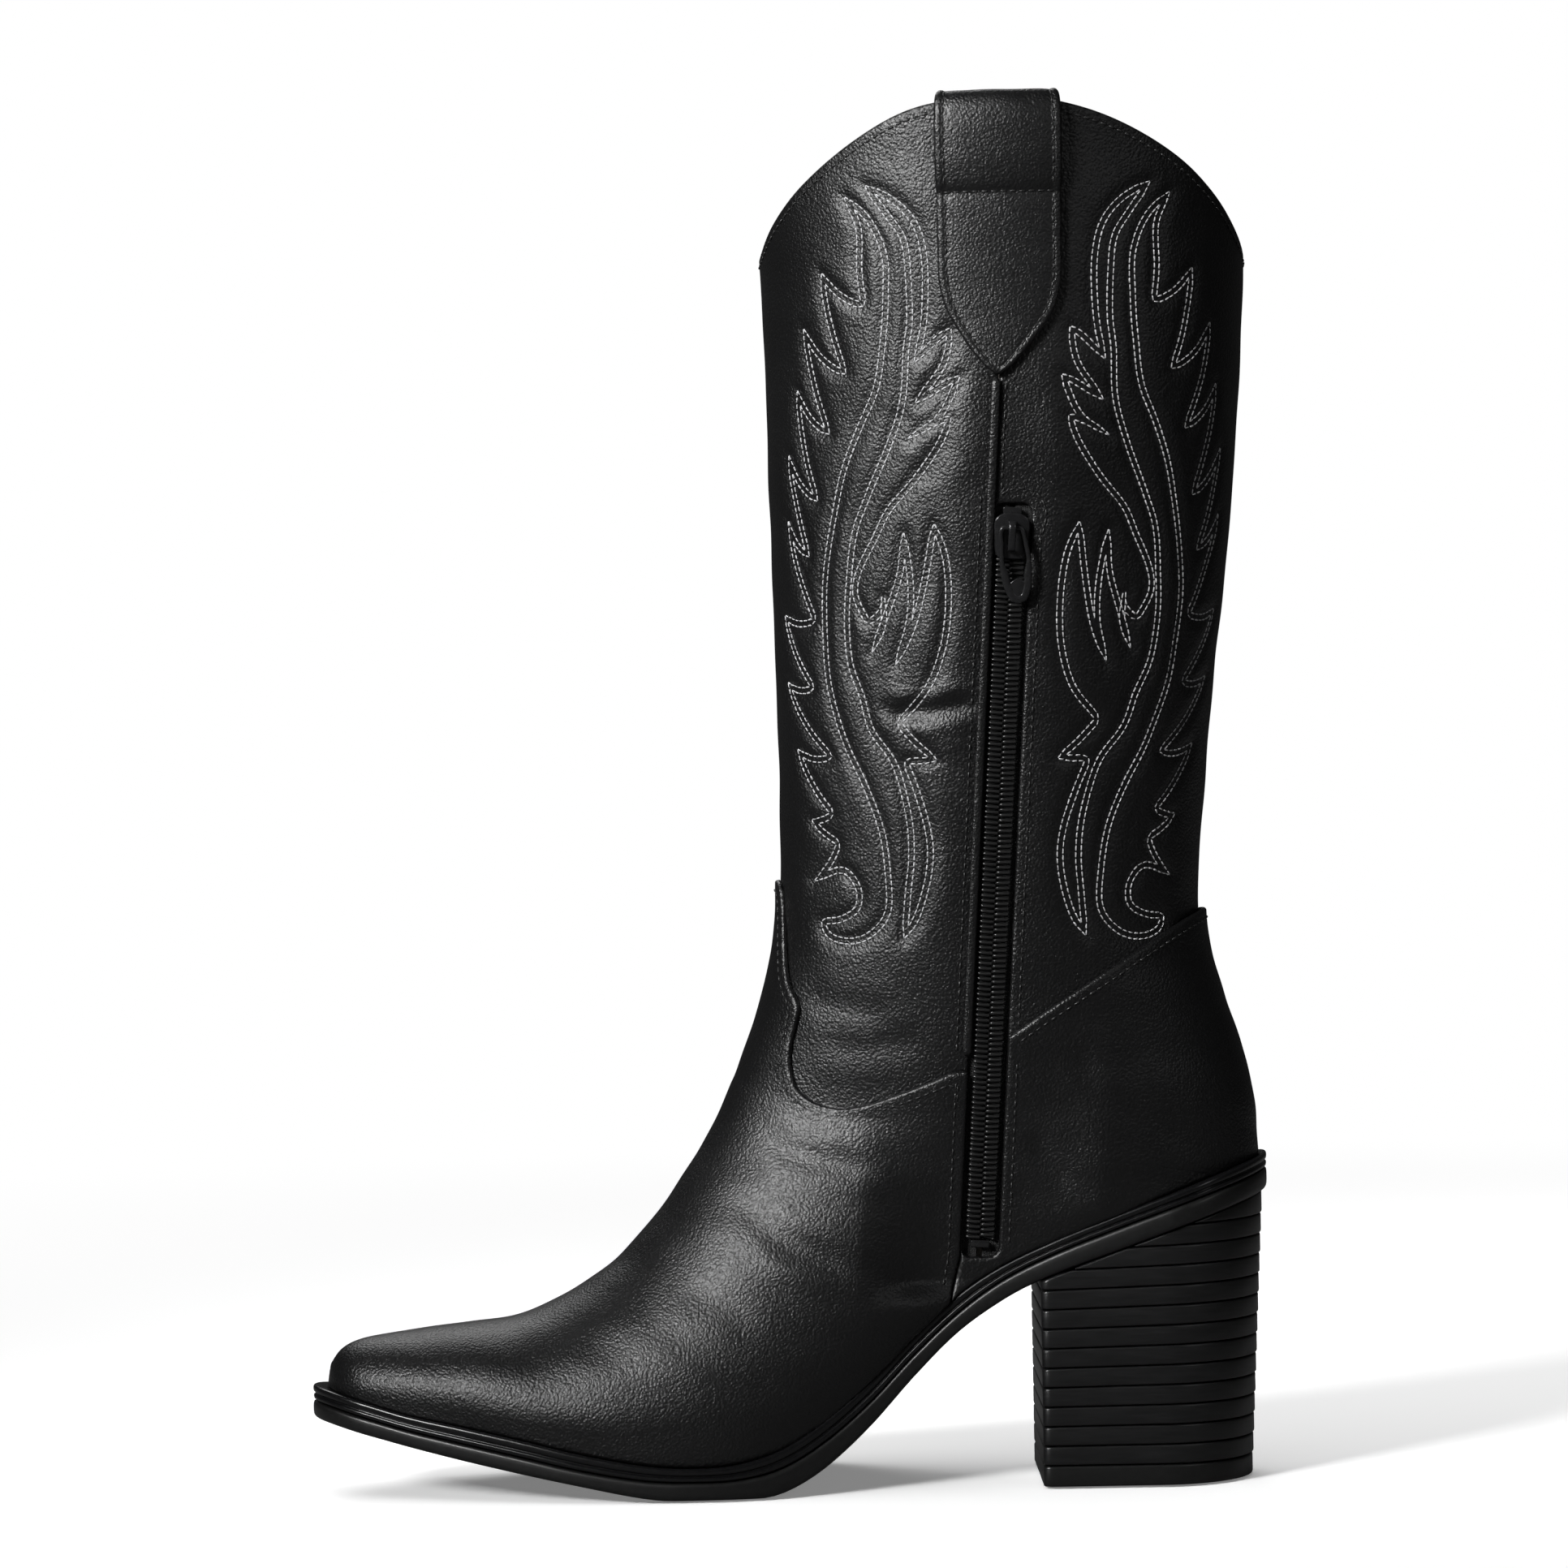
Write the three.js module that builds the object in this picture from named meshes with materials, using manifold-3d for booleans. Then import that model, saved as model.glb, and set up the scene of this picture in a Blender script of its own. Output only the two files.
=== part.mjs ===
// A right-foot western boot with a stacked block heel and a zip on its inner side.
// Units are millimetres. +Z is up, the toe points to -X and the inner (medial) side faces -Y.
// The origin is the centre of the heel's resting face, on the ground.
//
// The upper is built from one smooth surface, the "base", which is the outside of the shaft leather.
// Every leather, lining or stiffener is a layer between two offsets of that surface, cut to its own
// outline as seen from the side. The sole pieces are slabs between height curves, inside one plan outline.
import * as THREE from "three";
import { mergeVertices } from "three/addons/utils/BufferGeometryUtils.js";
import Module from "manifold-3d";

const wasm = await Module();
wasm.setup();

// ---------------------------------------------------------------- driving dimensions
const GAP = 0.3; // clearance between neighbouring pieces
const HALF_SPACE = 90; // far enough to pass either side of the boot
const SOLE_STEPS = 26;
const SLIVER = 0.03; // facets thinner than this, left by the cuts, are merged into their neighbours
const MEDIAL = -1;
const LATERAL = 1;

// Layers, as distances out from the base surface.
const FOOT_LEATHER = [0.35, 1.7]; // vamp and counter, lapped over the shaft
const SHAFT_LEATHER = [-1.5, 0];
const LINING = [-2.8, -1.8];
const ZIP_TAPE = [-2.4, -1.8];
const ZIP_GUARD = [-5.6, -4.9];
const STRAP_OUTER = [0.4, 2.0];
const STRAP_INNER = [-4.7, -3.1];
const SIDE_WELT = [GAP, 1.5];

// Plan of the sole.
const TOE_X = -230.7;
const HEEL_END_X = 35.8;
const TOE_ROUND = 17; // how far back from the tip the toe's rounding reaches
const HEEL_ROUND = 30;
const BASE_INSET = 5.2; // from the sole's edge in to the base surface, at the sides
const TOE_INSET_SHARE = 1.17;
const HEEL_INSET_SHARE = 0.79;
const SOLE_HALF = [
  [-231, 15], [-215, 18.5], [-200, 24.2], [-180, 31], [-160, 37], [-140, 41], [-125, 42.5], [-110, 42],
  [-95, 38.8], [-80, 34.4], [-65, 30.6], [-50, 28.6], [-35, 28.4], [-20, 29.4], [-5, 30.4], [10, 31], [36, 31],
];
const SOLE_CENTRE = [
  [-231, -5], [-200, -4.6], [-180, -3.8], [-160, -2.5], [-140, -1], [-125, 0], [-110, 1], [-95, 2.2],
  [-80, 2.7], [-65, 2.4], [-50, 1.6], [-35, 1], [-20, 0.5], [-5, 0.2], [10, 0], [36, 0],
];

// Side view of the sole: the top of the welt, the joint between welt and outsole, and the tread.
const WELT_TOP = [
  [-231, 29.6], [-225, 28.4], [-216, 26], [-204, 22.8], [-189, 19.9], [-172, 16.4], [-155, 12.5], [-138, 9.5],
  [-125, 8.6], [-112, 9.5], [-100, 13.2], [-88, 20.6], [-76, 30.6], [-64, 42.4], [-52, 52.8], [-40, 60.6],
  [-26, 67.2], [-10, 73.6], [8, 80.3], [22, 85.2], [36, 89.6],
];
const OUTSOLE_TOP = [
  [-231, 25.2], [-225, 24], [-216, 21.7], [-204, 18.6], [-189, 15.4], [-172, 11.8], [-155, 8.1], [-138, 5.4],
  [-125, 4.8], [-112, 5.2], [-100, 8], [-88, 14.8], [-76, 24.6], [-64, 36.8], [-52, 47.8], [-40, 56.4],
  [-26, 63.4], [-10, 69.7], [8, 76.2], [22, 80.9], [36, 85.2],
];
const TREAD = [
  [-231, 20.6], [-225, 19.4], [-216, 17.2], [-204, 14.3], [-189, 10.9], [-172, 7.3], [-155, 3.9], [-143, 1.5],
  [-136, 0.4], [-131, 0], [-106, 0], [-98, 2], [-88, 7.8], [-76, 18.2], [-64, 31], [-52, 42.6], [-40, 51], [-31, 55.8],
  [-20, 60.2], [-6, 65.3], [8, 70.4], [22, 75.2], [36, 79.6],
];
const TREAD_FLAT = [-131, -106]; // the part of the forefoot that rests on the ground

// Cross-sections of the base surface, from the top of the shaft round the ankle to the toe.
// Each lies in a plane square to the side view, through a front point and a back point.
// front, back: [x, z]. From HEEL_CORNER on, the back point runs along just below the top of the welt: only x is given.
// medial, lateral: greatest half-widths. widest: where along front-to-back they fall. square: how boxy
// the part behind them is (2 is an ellipse). ridge: y of the front point.
const SECTIONS = [
  { front: [-102.3, 400], back: [35.8, 400], medial: 54, lateral: 54, widest: 0.5, square: 2, ridge: 0 },
  { front: [-101.1, 340], back: [34.1, 340], medial: 52.4, lateral: 52.4, widest: 0.5, square: 2, ridge: 0 },
  { front: [-100, 300], back: [32, 300], medial: 50.4, lateral: 50.4, widest: 0.5, square: 2, ridge: 0 },
  { front: [-99.2, 250], back: [27, 250], medial: 47.4, lateral: 47.4, widest: 0.5, square: 2, ridge: 0 },
  { front: [-98.5, 205], back: [21.3, 205], medial: 42.5, lateral: 43, widest: 0.5, square: 2, ridge: 0 },
  { front: [-98.1, 170], back: [18.4, 170], medial: 38.7, lateral: 39.5, widest: 0.5, square: 2, ridge: 0 },
  { front: [-99.2, 150], back: [19.3, 148.5], medial: 36.6, lateral: 37.5, widest: 0.5, square: 2, ridge: 0 },
  { front: [-102.8, 134.5], back: [23.5, 133], medial: 35, lateral: 36, widest: 0.5, square: 2.1, ridge: 0 },
  { front: [-106.6, 122.5], back: [28.4, 118.5], medial: 33.6, lateral: 35, widest: 0.51, square: 2.1, ridge: 0 },
  { front: [-109, 116], back: [31.3, 106], medial: 32.8, lateral: 34.5, widest: 0.52, square: 2.2, ridge: -0.2 },
  { front: [-110.4, 112.4], back: [31.9, 96], medial: 32.4, lateral: 34, widest: 0.53, square: 2.2, ridge: -0.3 },
  { front: [-111.5, 110], back: [31.7], medial: 32.2, lateral: 33.8, widest: 0.54, square: 2.2, ridge: -0.4 },
  { front: [-112.8, 107], back: [28], medial: 32, lateral: 33.8, widest: 0.55, square: 2.3, ridge: -0.5 },
  { front: [-114.8, 102.8], back: [18], medial: 32, lateral: 34, widest: 0.56, square: 2.3, ridge: -0.6 },
  { front: [-117.8, 97], back: [3], medial: 32, lateral: 34.5, widest: 0.57, square: 2.4, ridge: -0.8 },
  { front: [-121.6, 90.6], back: [-16], medial: 32, lateral: 35, widest: 0.58, square: 2.4, ridge: -1 },
  { front: [-126.6, 83.2], back: [-38], medial: 32.6, lateral: 36, widest: 0.6, square: 2.5, ridge: -1.2 },
  { front: [-133, 74.2], back: [-61], medial: 34.4, lateral: 37.5, widest: 0.63, square: 2.5, ridge: -1.5 },
  { front: [-141, 65], back: [-84], medial: 37, lateral: 39, widest: 0.66, square: 2.4, ridge: -1.8 },
  { front: [-149.6, 57.7], back: [-106], medial: 39, lateral: 40, widest: 0.68, square: 2.3, ridge: -2.2 },
  { front: [-161, 50.9], back: [-128], medial: 38.6, lateral: 38.8, widest: 0.68, square: 2.2, ridge: -2.6 },
  { front: [-174, 45.6], back: [-150], medial: 36.2, lateral: 34.2, widest: 0.66, square: 2.2, ridge: -3.2 },
  { front: [-187, 44], back: [-171], medial: 32.6, lateral: 28, widest: 0.64, square: 2.2, ridge: -3.8 },
  { front: [-199, 42.5], back: [-191], medial: 27.4, lateral: 21, widest: 0.62, square: 2.2, ridge: -4.4 },
  { front: [-209.5, 41.2], back: [-206.5], medial: 22.4, lateral: 14, widest: 0.6, square: 2.2, ridge: -4.8 },
  { front: [-217, 39.7], back: [-216.8], medial: 18.2, lateral: 8.6, widest: 0.58, square: 2.2, ridge: -5 },
  { front: [-221.6, 37.5], back: [-222.2], medial: 13.4, lateral: 3.4, widest: 0.56, square: 2.2, ridge: -5 },
  { front: [-224.3, 33.8], back: [-224.3], medial: 8, lateral: -2, widest: 0.54, square: 2.2, ridge: -5 },
];
const HEEL_CORNER = 11; // the section whose back point is the corner between heel back and heel seat
const RING_STEPS = [
  0, 1, 2, 3, 4, 5, 6, 7, 8.2, 10, 11, 11.4, 12.1, 13, 14, 15, 16, 17, 18, 19, 20, 21, 22, 23, 24, 25, 26, 27,
];
const SIDE_STEPS = 10; // facets round each side of a ring; those beyond the edge of the foot close up
const SEAT_DROP = 6; // the base runs on this far below the top of the welt, where the layers are cut off

// The zip runs in a straight line on the medial side.
const ZIP_TOP = { x: -34.3, z: 262 };
const ZIP_BOTTOM = { x: -45.7, z: 62 };
const ZIP_TOP_Y = -48.6;
const ZIP_LEAN = 0.113; // how far the zip comes in towards the middle for each mm down
const ZIP_FLAT = 8; // half-width of the flat strip under the zip
const ZIP_BLEND = 34; // where the flat strip has faded back into the round of the leg
const ZIP_BLEND_RADIUS = 60;
const SLOT_HALF = 5.2;
const SLOT_TOP_Z = 268.4;
const SLOT_BOTTOM_Z = 63.5;
const TAPE_HALF = 13;
const TAPE_SPLIT = 0.75; // half the gap between the two tapes
const COIL_HALF = 3.9;
const COIL_FACE = 0.5; // the coils' outer face, out from the base surface
const COIL_DEPTH = 1.7;
const CHAIN_TOP_Z = 264.9;
const CHAIN_BOTTOM_Z = 68.5;

// Slider and pull, in the zip's own frame: x across the zip, y inwards, z up the zip.
const SLIDER_Z = 259.8;
const SLIDER_LENGTH = 12.4;
const SLIDER_HALF = 4.8;
const TOP_PLATE = [0.9, 1.9];
const BOTTOM_PLATE = [-4.2, -3.4];
const POST_WIDTH = 0.8;
const BRIDGE_TOP = 5.3;
const BRIDGE_BAR = 0.9;
const BRIDGE_HALF_LENGTH = 4.2;
const BRIDGE_WIDTH = 2;
const PULL_AXIS_OUT = 3.15; // the pull's crossbar, out from the base surface
const PULL_AXIS_UP = 2.2; // and up from the slider's middle
const PULL_THICK = 1.2;
const PULL_LENGTH = 20.5;
const PULL_HALF_WIDTH = 4.1;

// Heel.
const HEEL_BREAST_X = -29;
const HEEL_FLARE = 0.052; // how far the back slopes out for each mm up
const HEEL_BACK_X = 30.6;
const HEEL_HALF = 27.4;
const HEEL_SIDE_FLARE = 0.034;
const HEEL_ROUND_START = 4; // x where the straight sides turn into the round back
const HEEL_ARC_STEPS = 14;
const TOP_PIECE = 6; // thickness of the rubber piece that meets the ground
const LIFT_FRONT = 5.35; // pitch of the leather lifts at the breast, and at the back
const LIFT_BACK = 5.53;
const LIFTS = 13;
const NAILS = [[-15, -11], [-15, 12], [12, -11], [12, 11]];
const NAIL_RADIUS = 1.2;
const SCREW_RADIUS = 2.4;
const SEAT_SLOPE = 0.42; // steepest rise of the sole over the heel

// Sole details.
const WELT_WIDTH = 13;
const SHANK_X = [-98, -6];
const SHANK_HALF = 7;
const SHANK_THICK = 1.6;
const FILLER_END_X = -101;
const INSOLE_THICK = 2.2;
const SOCK_THICK = 1.2;
const INSOLE_INSET = 10.4;

// ---------------------------------------------------------------- materials
const material = (color, roughness, metalness = 0) =>
  new THREE.MeshStandardMaterial({ color, roughness, metalness });
const LEATHER = material(0x121212, 0.45);
const LINING_CLOTH = material(0x2a2622, 0.9);
const BOARD = material(0x6b5335, 0.85);
const CORK = material(0x8a6a45, 0.95);
const STIFFENER = material(0x4a4038, 0.8);
const RUBBER = material(0x161616, 0.55);
const STACK = material(0x181716, 0.5);
const STEEL = material(0xb0b2b5, 0.35, 1);
const TAPE_CLOTH = material(0x0c0c0c, 0.85);
const COIL = material(0x101010, 0.35);
const GUNMETAL = material(0x2a2b2d, 0.3, 1);

// ---------------------------------------------------------------- curves
const clamp = (value, low, high) => Math.min(high, Math.max(low, value));
const smooth = (share) => {
  const s = clamp(share, 0, 1);
  return s * s * (3 - 2 * s);
};

// Smooth value through (x, value) points in order of x, by Catmull-Rom tangents.
function along(points, x) {
  const last = points.length - 1;
  const here = clamp(x, points[0][0], points[last][0]);
  let i = 0;
  while (i < last - 1 && here > points[i + 1][0]) i += 1;
  const [x0, v0] = points[i];
  const [x1, v1] = points[i + 1];
  const slope = (j) => {
    const a = points[Math.max(0, j - 1)];
    const b = points[Math.min(last, j + 1)];
    return (b[1] - a[1]) / (b[0] - a[0]);
  };
  const width = x1 - x0;
  const s = (here - x0) / width;
  const s2 = s * s;
  const s3 = s2 * s;
  return (
    (2 * s3 - 3 * s2 + 1) * v0 +
    (s3 - 2 * s2 + s) * width * slope(i) +
    (3 * s2 - 2 * s3) * v1 +
    (s3 - s2) * width * slope(i + 1)
  );
}

const treadHeight = (x) => Math.max(0, along(TREAD, x));
const weltTop = (x) => along(WELT_TOP, x);
const outsoleTop = (x) => along(OUTSOLE_TOP, x);

// Half-width of the plan outline, drawn in by inset.
const planEnds = (inset) => [TOE_X + inset * TOE_INSET_SHARE, HEEL_END_X - inset * HEEL_INSET_SHARE];
function planHalf(x, inset) {
  const [toe, heel] = planEnds(inset);
  const cap = (distance, reach) => {
    const share = clamp(distance / reach, 0, 1);
    return Math.sqrt(1 - (1 - share) ** 2);
  };
  return (along(SOLE_HALF, x) - inset) * cap(x - toe, TOE_ROUND) * cap(heel - x, HEEL_ROUND);
}

// A side-view outline: a smooth curve through its points.
const curveThrough = (points, steps) =>
  new THREE.SplineCurve(points.map(([x, z]) => new THREE.Vector2(x, z))).getPoints(steps).map((p) => [p.x, p.y]);

// ---------------------------------------------------------------- the base surface
const zipShare = (z) => (ZIP_TOP.z - z) / (ZIP_TOP.z - ZIP_BOTTOM.z);
const zipX = (z) => ZIP_TOP.x + (ZIP_BOTTOM.x - ZIP_TOP.x) * zipShare(z);
const zipY = (z) => ZIP_TOP_Y + (ZIP_TOP.z - z) * ZIP_LEAN;

// One numeric field of SECTIONS, smoothly between sections; get reads it from a section.
function sectionValue(step, get) {
  const last = SECTIONS.length - 1;
  const i = Math.min(last - 1, Math.floor(step));
  const at = (j) => get(SECTIONS[clamp(j, 0, last)]);
  const s = step - i;
  const [a, b, c, d] = [at(i - 1), at(i), at(i + 1), at(i + 2)];
  return b + 0.5 * s * (c - a + s * (2 * a - 5 * b + 4 * c - d + s * (3 * (b - c) + d - a)));
}

const sectionCache = new Map();
function section(step) {
  if (!sectionCache.has(step)) {
    const backX = sectionValue(step, (s) => s.back[0]);
    const onSeat = step >= HEEL_CORNER;
    const seatHeight = (x) => weltTop(x) - SEAT_DROP;
    const made = {
      front: new THREE.Vector2(sectionValue(step, (s) => s.front[0]), sectionValue(step, (s) => s.front[1])),
      back: new THREE.Vector2(backX, onSeat ? seatHeight(backX) : sectionValue(step, (s) => s.back[1] ?? seatHeight(s.back[0]))),
      widest: sectionValue(step, (s) => s.widest),
      square: sectionValue(step, (s) => s.square),
      ridge: sectionValue(step, (s) => s.ridge),
    };
    const seatHalf = onSeat ? planHalf(backX, BASE_INSET) : 0;
    const centre = onSeat ? along(SOLE_CENTRE, backX) : made.ridge;
    for (const side of [MEDIAL, LATERAL]) {
      const foot = Math.max(0, seatHalf + side * (centre - made.ridge));
      const half = sectionValue(step, (s) => (side === MEDIAL ? s.medial : s.lateral)) - side * made.ridge;
      made[side] = { foot: seatHalf > 0 ? foot : 0, half: Math.max(half, foot + 0.4) };
    }
    sectionCache.set(step, made);
  }
  return sectionCache.get(step);
}

// A ring of the base runs by angle from the front ridge, through the widest point at 0, to its end,
// which is the back ridge or, over the sole, the edge of the foot.
const FRONT_ANGLE = -Math.PI / 2;
function endAngle(step, side) {
  const s = section(step);
  return Math.acos((s[side].foot / s[side].half) ** (s.square / 2));
}

function ringPoint(step, angle, side) {
  const s = section(step);
  const chord = s.back.clone().sub(s.front);
  const length = chord.length();
  const ahead = s.widest * length;
  const power = 2 / s.square;
  const reach = (length - ahead) / Math.sin(endAngle(step, side)) ** power;
  const isFront = angle < 0;
  const run = isFront ? ahead * Math.sin(angle) : reach * Math.sin(angle) ** power;
  const out = isFront ? Math.cos(angle) : Math.max(0, Math.cos(angle)) ** power;
  const p = s.front.clone().addScaledVector(chord, (ahead + run) / length);
  const y = s.ridge + side * s[side].half * out;
  return new THREE.Vector3(p.x, side === MEDIAL ? flattenForZip(p.x, y, p.y) : y, p.y);
}

// Next to the zip the leather lies in one flat strip, so that the slider can run straight.
function flattenForZip(x, y, z) {
  const sideways = Math.abs(x - zipX(z));
  const beyond = Math.max(0, sideways - ZIP_FLAT);
  const target = zipY(z) + beyond ** 2 / (2 * ZIP_BLEND_RADIUS);
  const near = 1 - smooth(beyond / (ZIP_BLEND - ZIP_FLAT));
  const within = smooth((z - 49) / 9) * (1 - smooth((z - 275) / 50));
  return y + near * within * (target - y);
}

function ringNormal(step, angle, side) {
  const last = SECTIONS.length - 1;
  const a = ringPoint(Math.min(last, step + 0.02), angle, side);
  const b = ringPoint(Math.max(0, step - 0.02), angle, side);
  const c = ringPoint(step, Math.min(Math.PI / 2, angle + 0.02), side);
  const d = ringPoint(step, Math.max(FRONT_ANGLE, angle - 0.02), side);
  const normal = a.sub(b).cross(c.sub(d)).multiplyScalar(-side).normalize();
  const onRidge = angle === FRONT_ANGLE || angle > Math.PI / 2 - 1e-4;
  return onRidge ? normal.setY(0).normalize() : normal;
}

// ---------------------------------------------------------------- solids
function toSolid(positions, triangles) {
  const geometry = new THREE.BufferGeometry();
  geometry.setAttribute("position", new THREE.Float32BufferAttribute(positions, 3));
  geometry.setIndex(triangles);
  return solidOf(geometry);
}

function solidOf(geometry) {
  const bare = geometry.clone();
  bare.deleteAttribute("normal");
  bare.deleteAttribute("uv");
  const merged = mergeVertices(bare, 1e-4);
  const index = merged.index.array;
  const kept = [];
  for (let i = 0; i < index.length; i += 3) {
    const [a, b, c] = [index[i], index[i + 1], index[i + 2]];
    if (a !== b && b !== c && c !== a) kept.push(a, b, c);
  }
  const build = (triangles) =>
    new wasm.Manifold(
      new wasm.Mesh({
        numProp: 3,
        vertProperties: new Float32Array(merged.attributes.position.array),
        triVerts: new Uint32Array(triangles),
      }),
    );
  const made = build(kept);
  return made.volume() < 0 ? build(kept.reverse()) : made;
}

function geometryOf(solid) {
  const mesh = solid.simplify(SLIVER).getMesh();
  const positions = new Float32Array(mesh.numVert * 3);
  for (let i = 0; i < mesh.numVert; i += 1) {
    positions.set(mesh.vertProperties.subarray(i * mesh.numProp, i * mesh.numProp + 3), i * 3);
  }
  const geometry = new THREE.BufferGeometry();
  geometry.setAttribute("position", new THREE.BufferAttribute(positions, 3));
  geometry.setIndex(new THREE.BufferAttribute(new Uint32Array(mesh.triVerts), 1));
  geometry.computeVertexNormals();
  return geometry;
}

// The biggest connected body of a cut, without the slivers a cut can leave.
const mainBody = (solid) =>
  solid.decompose().reduce((best, body) => (body.volume() > best.volume() ? body : best));

// Closed body through rings of equally many points, each ring closed on itself.
function loft(rings) {
  const count = rings[0].length;
  const positions = rings.flat().flatMap((p) => [p.x, p.y, p.z]);
  const triangles = [];
  for (let r = 0; r + 1 < rings.length; r += 1) {
    for (let i = 0; i < count; i += 1) {
      const a = r * count + i;
      const b = r * count + ((i + 1) % count);
      triangles.push(a, b, b + count, a, b + count, a + count);
    }
  }
  const lastRing = (rings.length - 1) * count;
  for (let i = 1; i + 1 < count; i += 1) {
    triangles.push(0, i + 1, i, lastRing, lastRing + i, lastRing + i + 1);
  }
  return toSolid(positions, triangles);
}

// Everything inside one offset of the base surface.
const insideCache = new Map();
function inside(offset) {
  if (!insideCache.has(offset)) {
    const rings = RING_STEPS.map((step) => {
      const half = (side) => {
        const points = [];
        for (let i = 0; i <= SIDE_STEPS; i += 1) {
          const angle = Math.min(endAngle(step, side), FRONT_ANGLE + (i / SIDE_STEPS) * Math.PI);
          points.push(ringPoint(step, angle, side).addScaledVector(ringNormal(step, angle, side), offset));
        }
        return points;
      };
      return [...half(MEDIAL), ...half(LATERAL).slice(1).reverse()];
    });
    insideCache.set(offset, loft(rings));
  }
  return insideCache.get(offset);
}

// Side-view outline pushed through from y0 to y1.
function prism(points, y0 = -HALF_SPACE, y1 = HALF_SPACE) {
  const shape = new THREE.Shape(points.map(([x, z]) => new THREE.Vector2(x, z)));
  const geometry = new THREE.ExtrudeGeometry(shape, { depth: y1 - y0, bevelEnabled: false });
  geometry.rotateX(Math.PI / 2);
  geometry.translate(0, y1, 0);
  return solidOf(geometry);
}

const box = (x0, x1, y0, y1, z0, z1) =>
  solidOf(new THREE.BoxGeometry(x1 - x0, y1 - y0, z1 - z0).translate((x0 + x1) / 2, (y0 + y1) / 2, (z0 + z1) / 2));

function rod(x, y, z0, z1, radius, sides = 8) {
  const geometry = new THREE.CylinderGeometry(radius, radius, z1 - z0, sides);
  geometry.rotateX(Math.PI / 2);
  geometry.translate(x, y, (z0 + z1) / 2);
  return solidOf(geometry);
}

// Stations along the sole, close together where the ends round off; every slab shares them.
const SOLE_X = Array.from(
  { length: SOLE_STEPS + 1 },
  (_, i) => TOE_X + ((HEEL_END_X - TOE_X) * (1 - Math.cos((Math.PI * i) / SOLE_STEPS))) / 2,
).filter((x) => TREAD_FLAT.every((edge) => Math.abs(x - edge) > 2));
SOLE_X.push(...TREAD_FLAT);
SOLE_X.sort((a, b) => a - b);
const stations = (x0, x1) => [x0, ...SOLE_X.filter((x) => x > x0 + 0.5 && x < x1 - 0.5), x1];

// Body between two heights, inside half-widths given at each x.
function slab(xs, low, high, edges) {
  return loft(
    xs.map((x) => {
      const [y0, y1] = edges(x);
      return [
        new THREE.Vector3(x, y0, low(x)),
        new THREE.Vector3(x, y1, low(x)),
        new THREE.Vector3(x, y1, high(x)),
        new THREE.Vector3(x, y0, high(x)),
      ];
    }),
  );
}

const planEdges = (inset) => (x) => {
  const centre = along(SOLE_CENTRE, x);
  const half = Math.max(0, planHalf(x, inset));
  return [centre - half, centre + half];
};
const planSlab = (inset, low, high) => slab(stations(...planEnds(inset)), low, high, planEdges(inset));
const straightEdges = (half, centre = 0) => () => [centre - half, centre + half];

// ---------------------------------------------------------------- outlines seen from the side
const FAR = 140; // beyond the front of the shaft, behind the heel, and below the ground
const SKY = 420;
const seamX = (z) => zipX(z) - SLOT_HALF;
const SEAM_BENDS = [110, 160, 215, 270];
const seamLine = (z0, z1, shift = 0) => {
  const low = Math.min(z0, z1);
  const high = Math.max(z0, z1);
  const heights = [low, ...SEAM_BENDS.filter((z) => z > low + 1 && z < high - 1), high];
  const line = heights.map((z) => [seamX(z) + shift, z]);
  return z0 < z1 ? line : line.reverse();
};

const TOPLINE = [
  [-103.5, 333], [-101.2, 340.5], [-97, 348.6], [-89, 358], [-77, 367], [-62, 374.6], [-48, 377.4], [-36, 377.8],
  [-24, 377.2], [-10, 374], [3, 368.8], [15, 361.8], [24, 353.6], [30.5, 345], [34.2, 338.5], [37, 331],
];
const VAMP_EDGE = [
  [-99.6, 168.4], [-97.2, 164.5], [-96.5, 147], [-95.7, 139], [-93.2, 132], [-95.4, 122.5], [-95.8, 115.5],
  [-93.6, 109.2], [-86.5, 105.1], [-78, 105.2], [-66, 109], [-51, 115],
];
const COUNTER_EDGE = [[-37.4, 123.6], [-26.4, 131], [-15.3, 138], [-1.9, 146.4], [11.5, 154.2], [20, 158.2]];
const PANEL_LAP = 9; // how far the shaft leather runs on under the vamp and the counter

const aboveWelt = prism([
  ...SOLE_X.map((x) => [x, weltTop(x) + GAP]),
  [FAR, 95],
  [FAR, SKY],
  [-280, SKY],
  [-280, 40],
]);
const belowTopline = prism([
  [-280, -10],
  [FAR, -10],
  [FAR, 331],
  ...curveThrough(TOPLINE, 20).reverse(),
  [-280, 333],
]);
const vampOutline = prism([
  [-280, 0],
  [-57.5, 0],
  [-54, 52],
  ...seamLine(64, 115, -GAP / 2),
  ...curveThrough(VAMP_EDGE, 22).reverse().slice(1),
  [-108, 171],
  [-280, 171],
]);
const counterOutline = prism([
  [-57.5 + GAP, 0],
  [FAR, 0],
  [FAR, 180],
  [40, 168],
  ...curveThrough(COUNTER_EDGE, 4).reverse(),
  ...seamLine(119, 64, GAP / 2),
  [-54 + GAP, 52],
]);
const frontPanelOutline = prism([
  [-280, 128],
  [-97, 110 - PANEL_LAP],
  [-88, 105 - PANEL_LAP],
  [-76, 105 - PANEL_LAP],
  [-49, 115 - PANEL_LAP],
  ...seamLine(115, SKY, -GAP / 2),
  [-280, SKY],
]);
const backPanelOutline = prism([
  ...seamLine(119 - PANEL_LAP, SKY, GAP / 2).reverse(),
  [-37, 122 - PANEL_LAP],
  [-2, 145 - PANEL_LAP],
  [20, 157 - PANEL_LAP],
  [FAR, 160],
  [FAR, SKY],
]);
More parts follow.
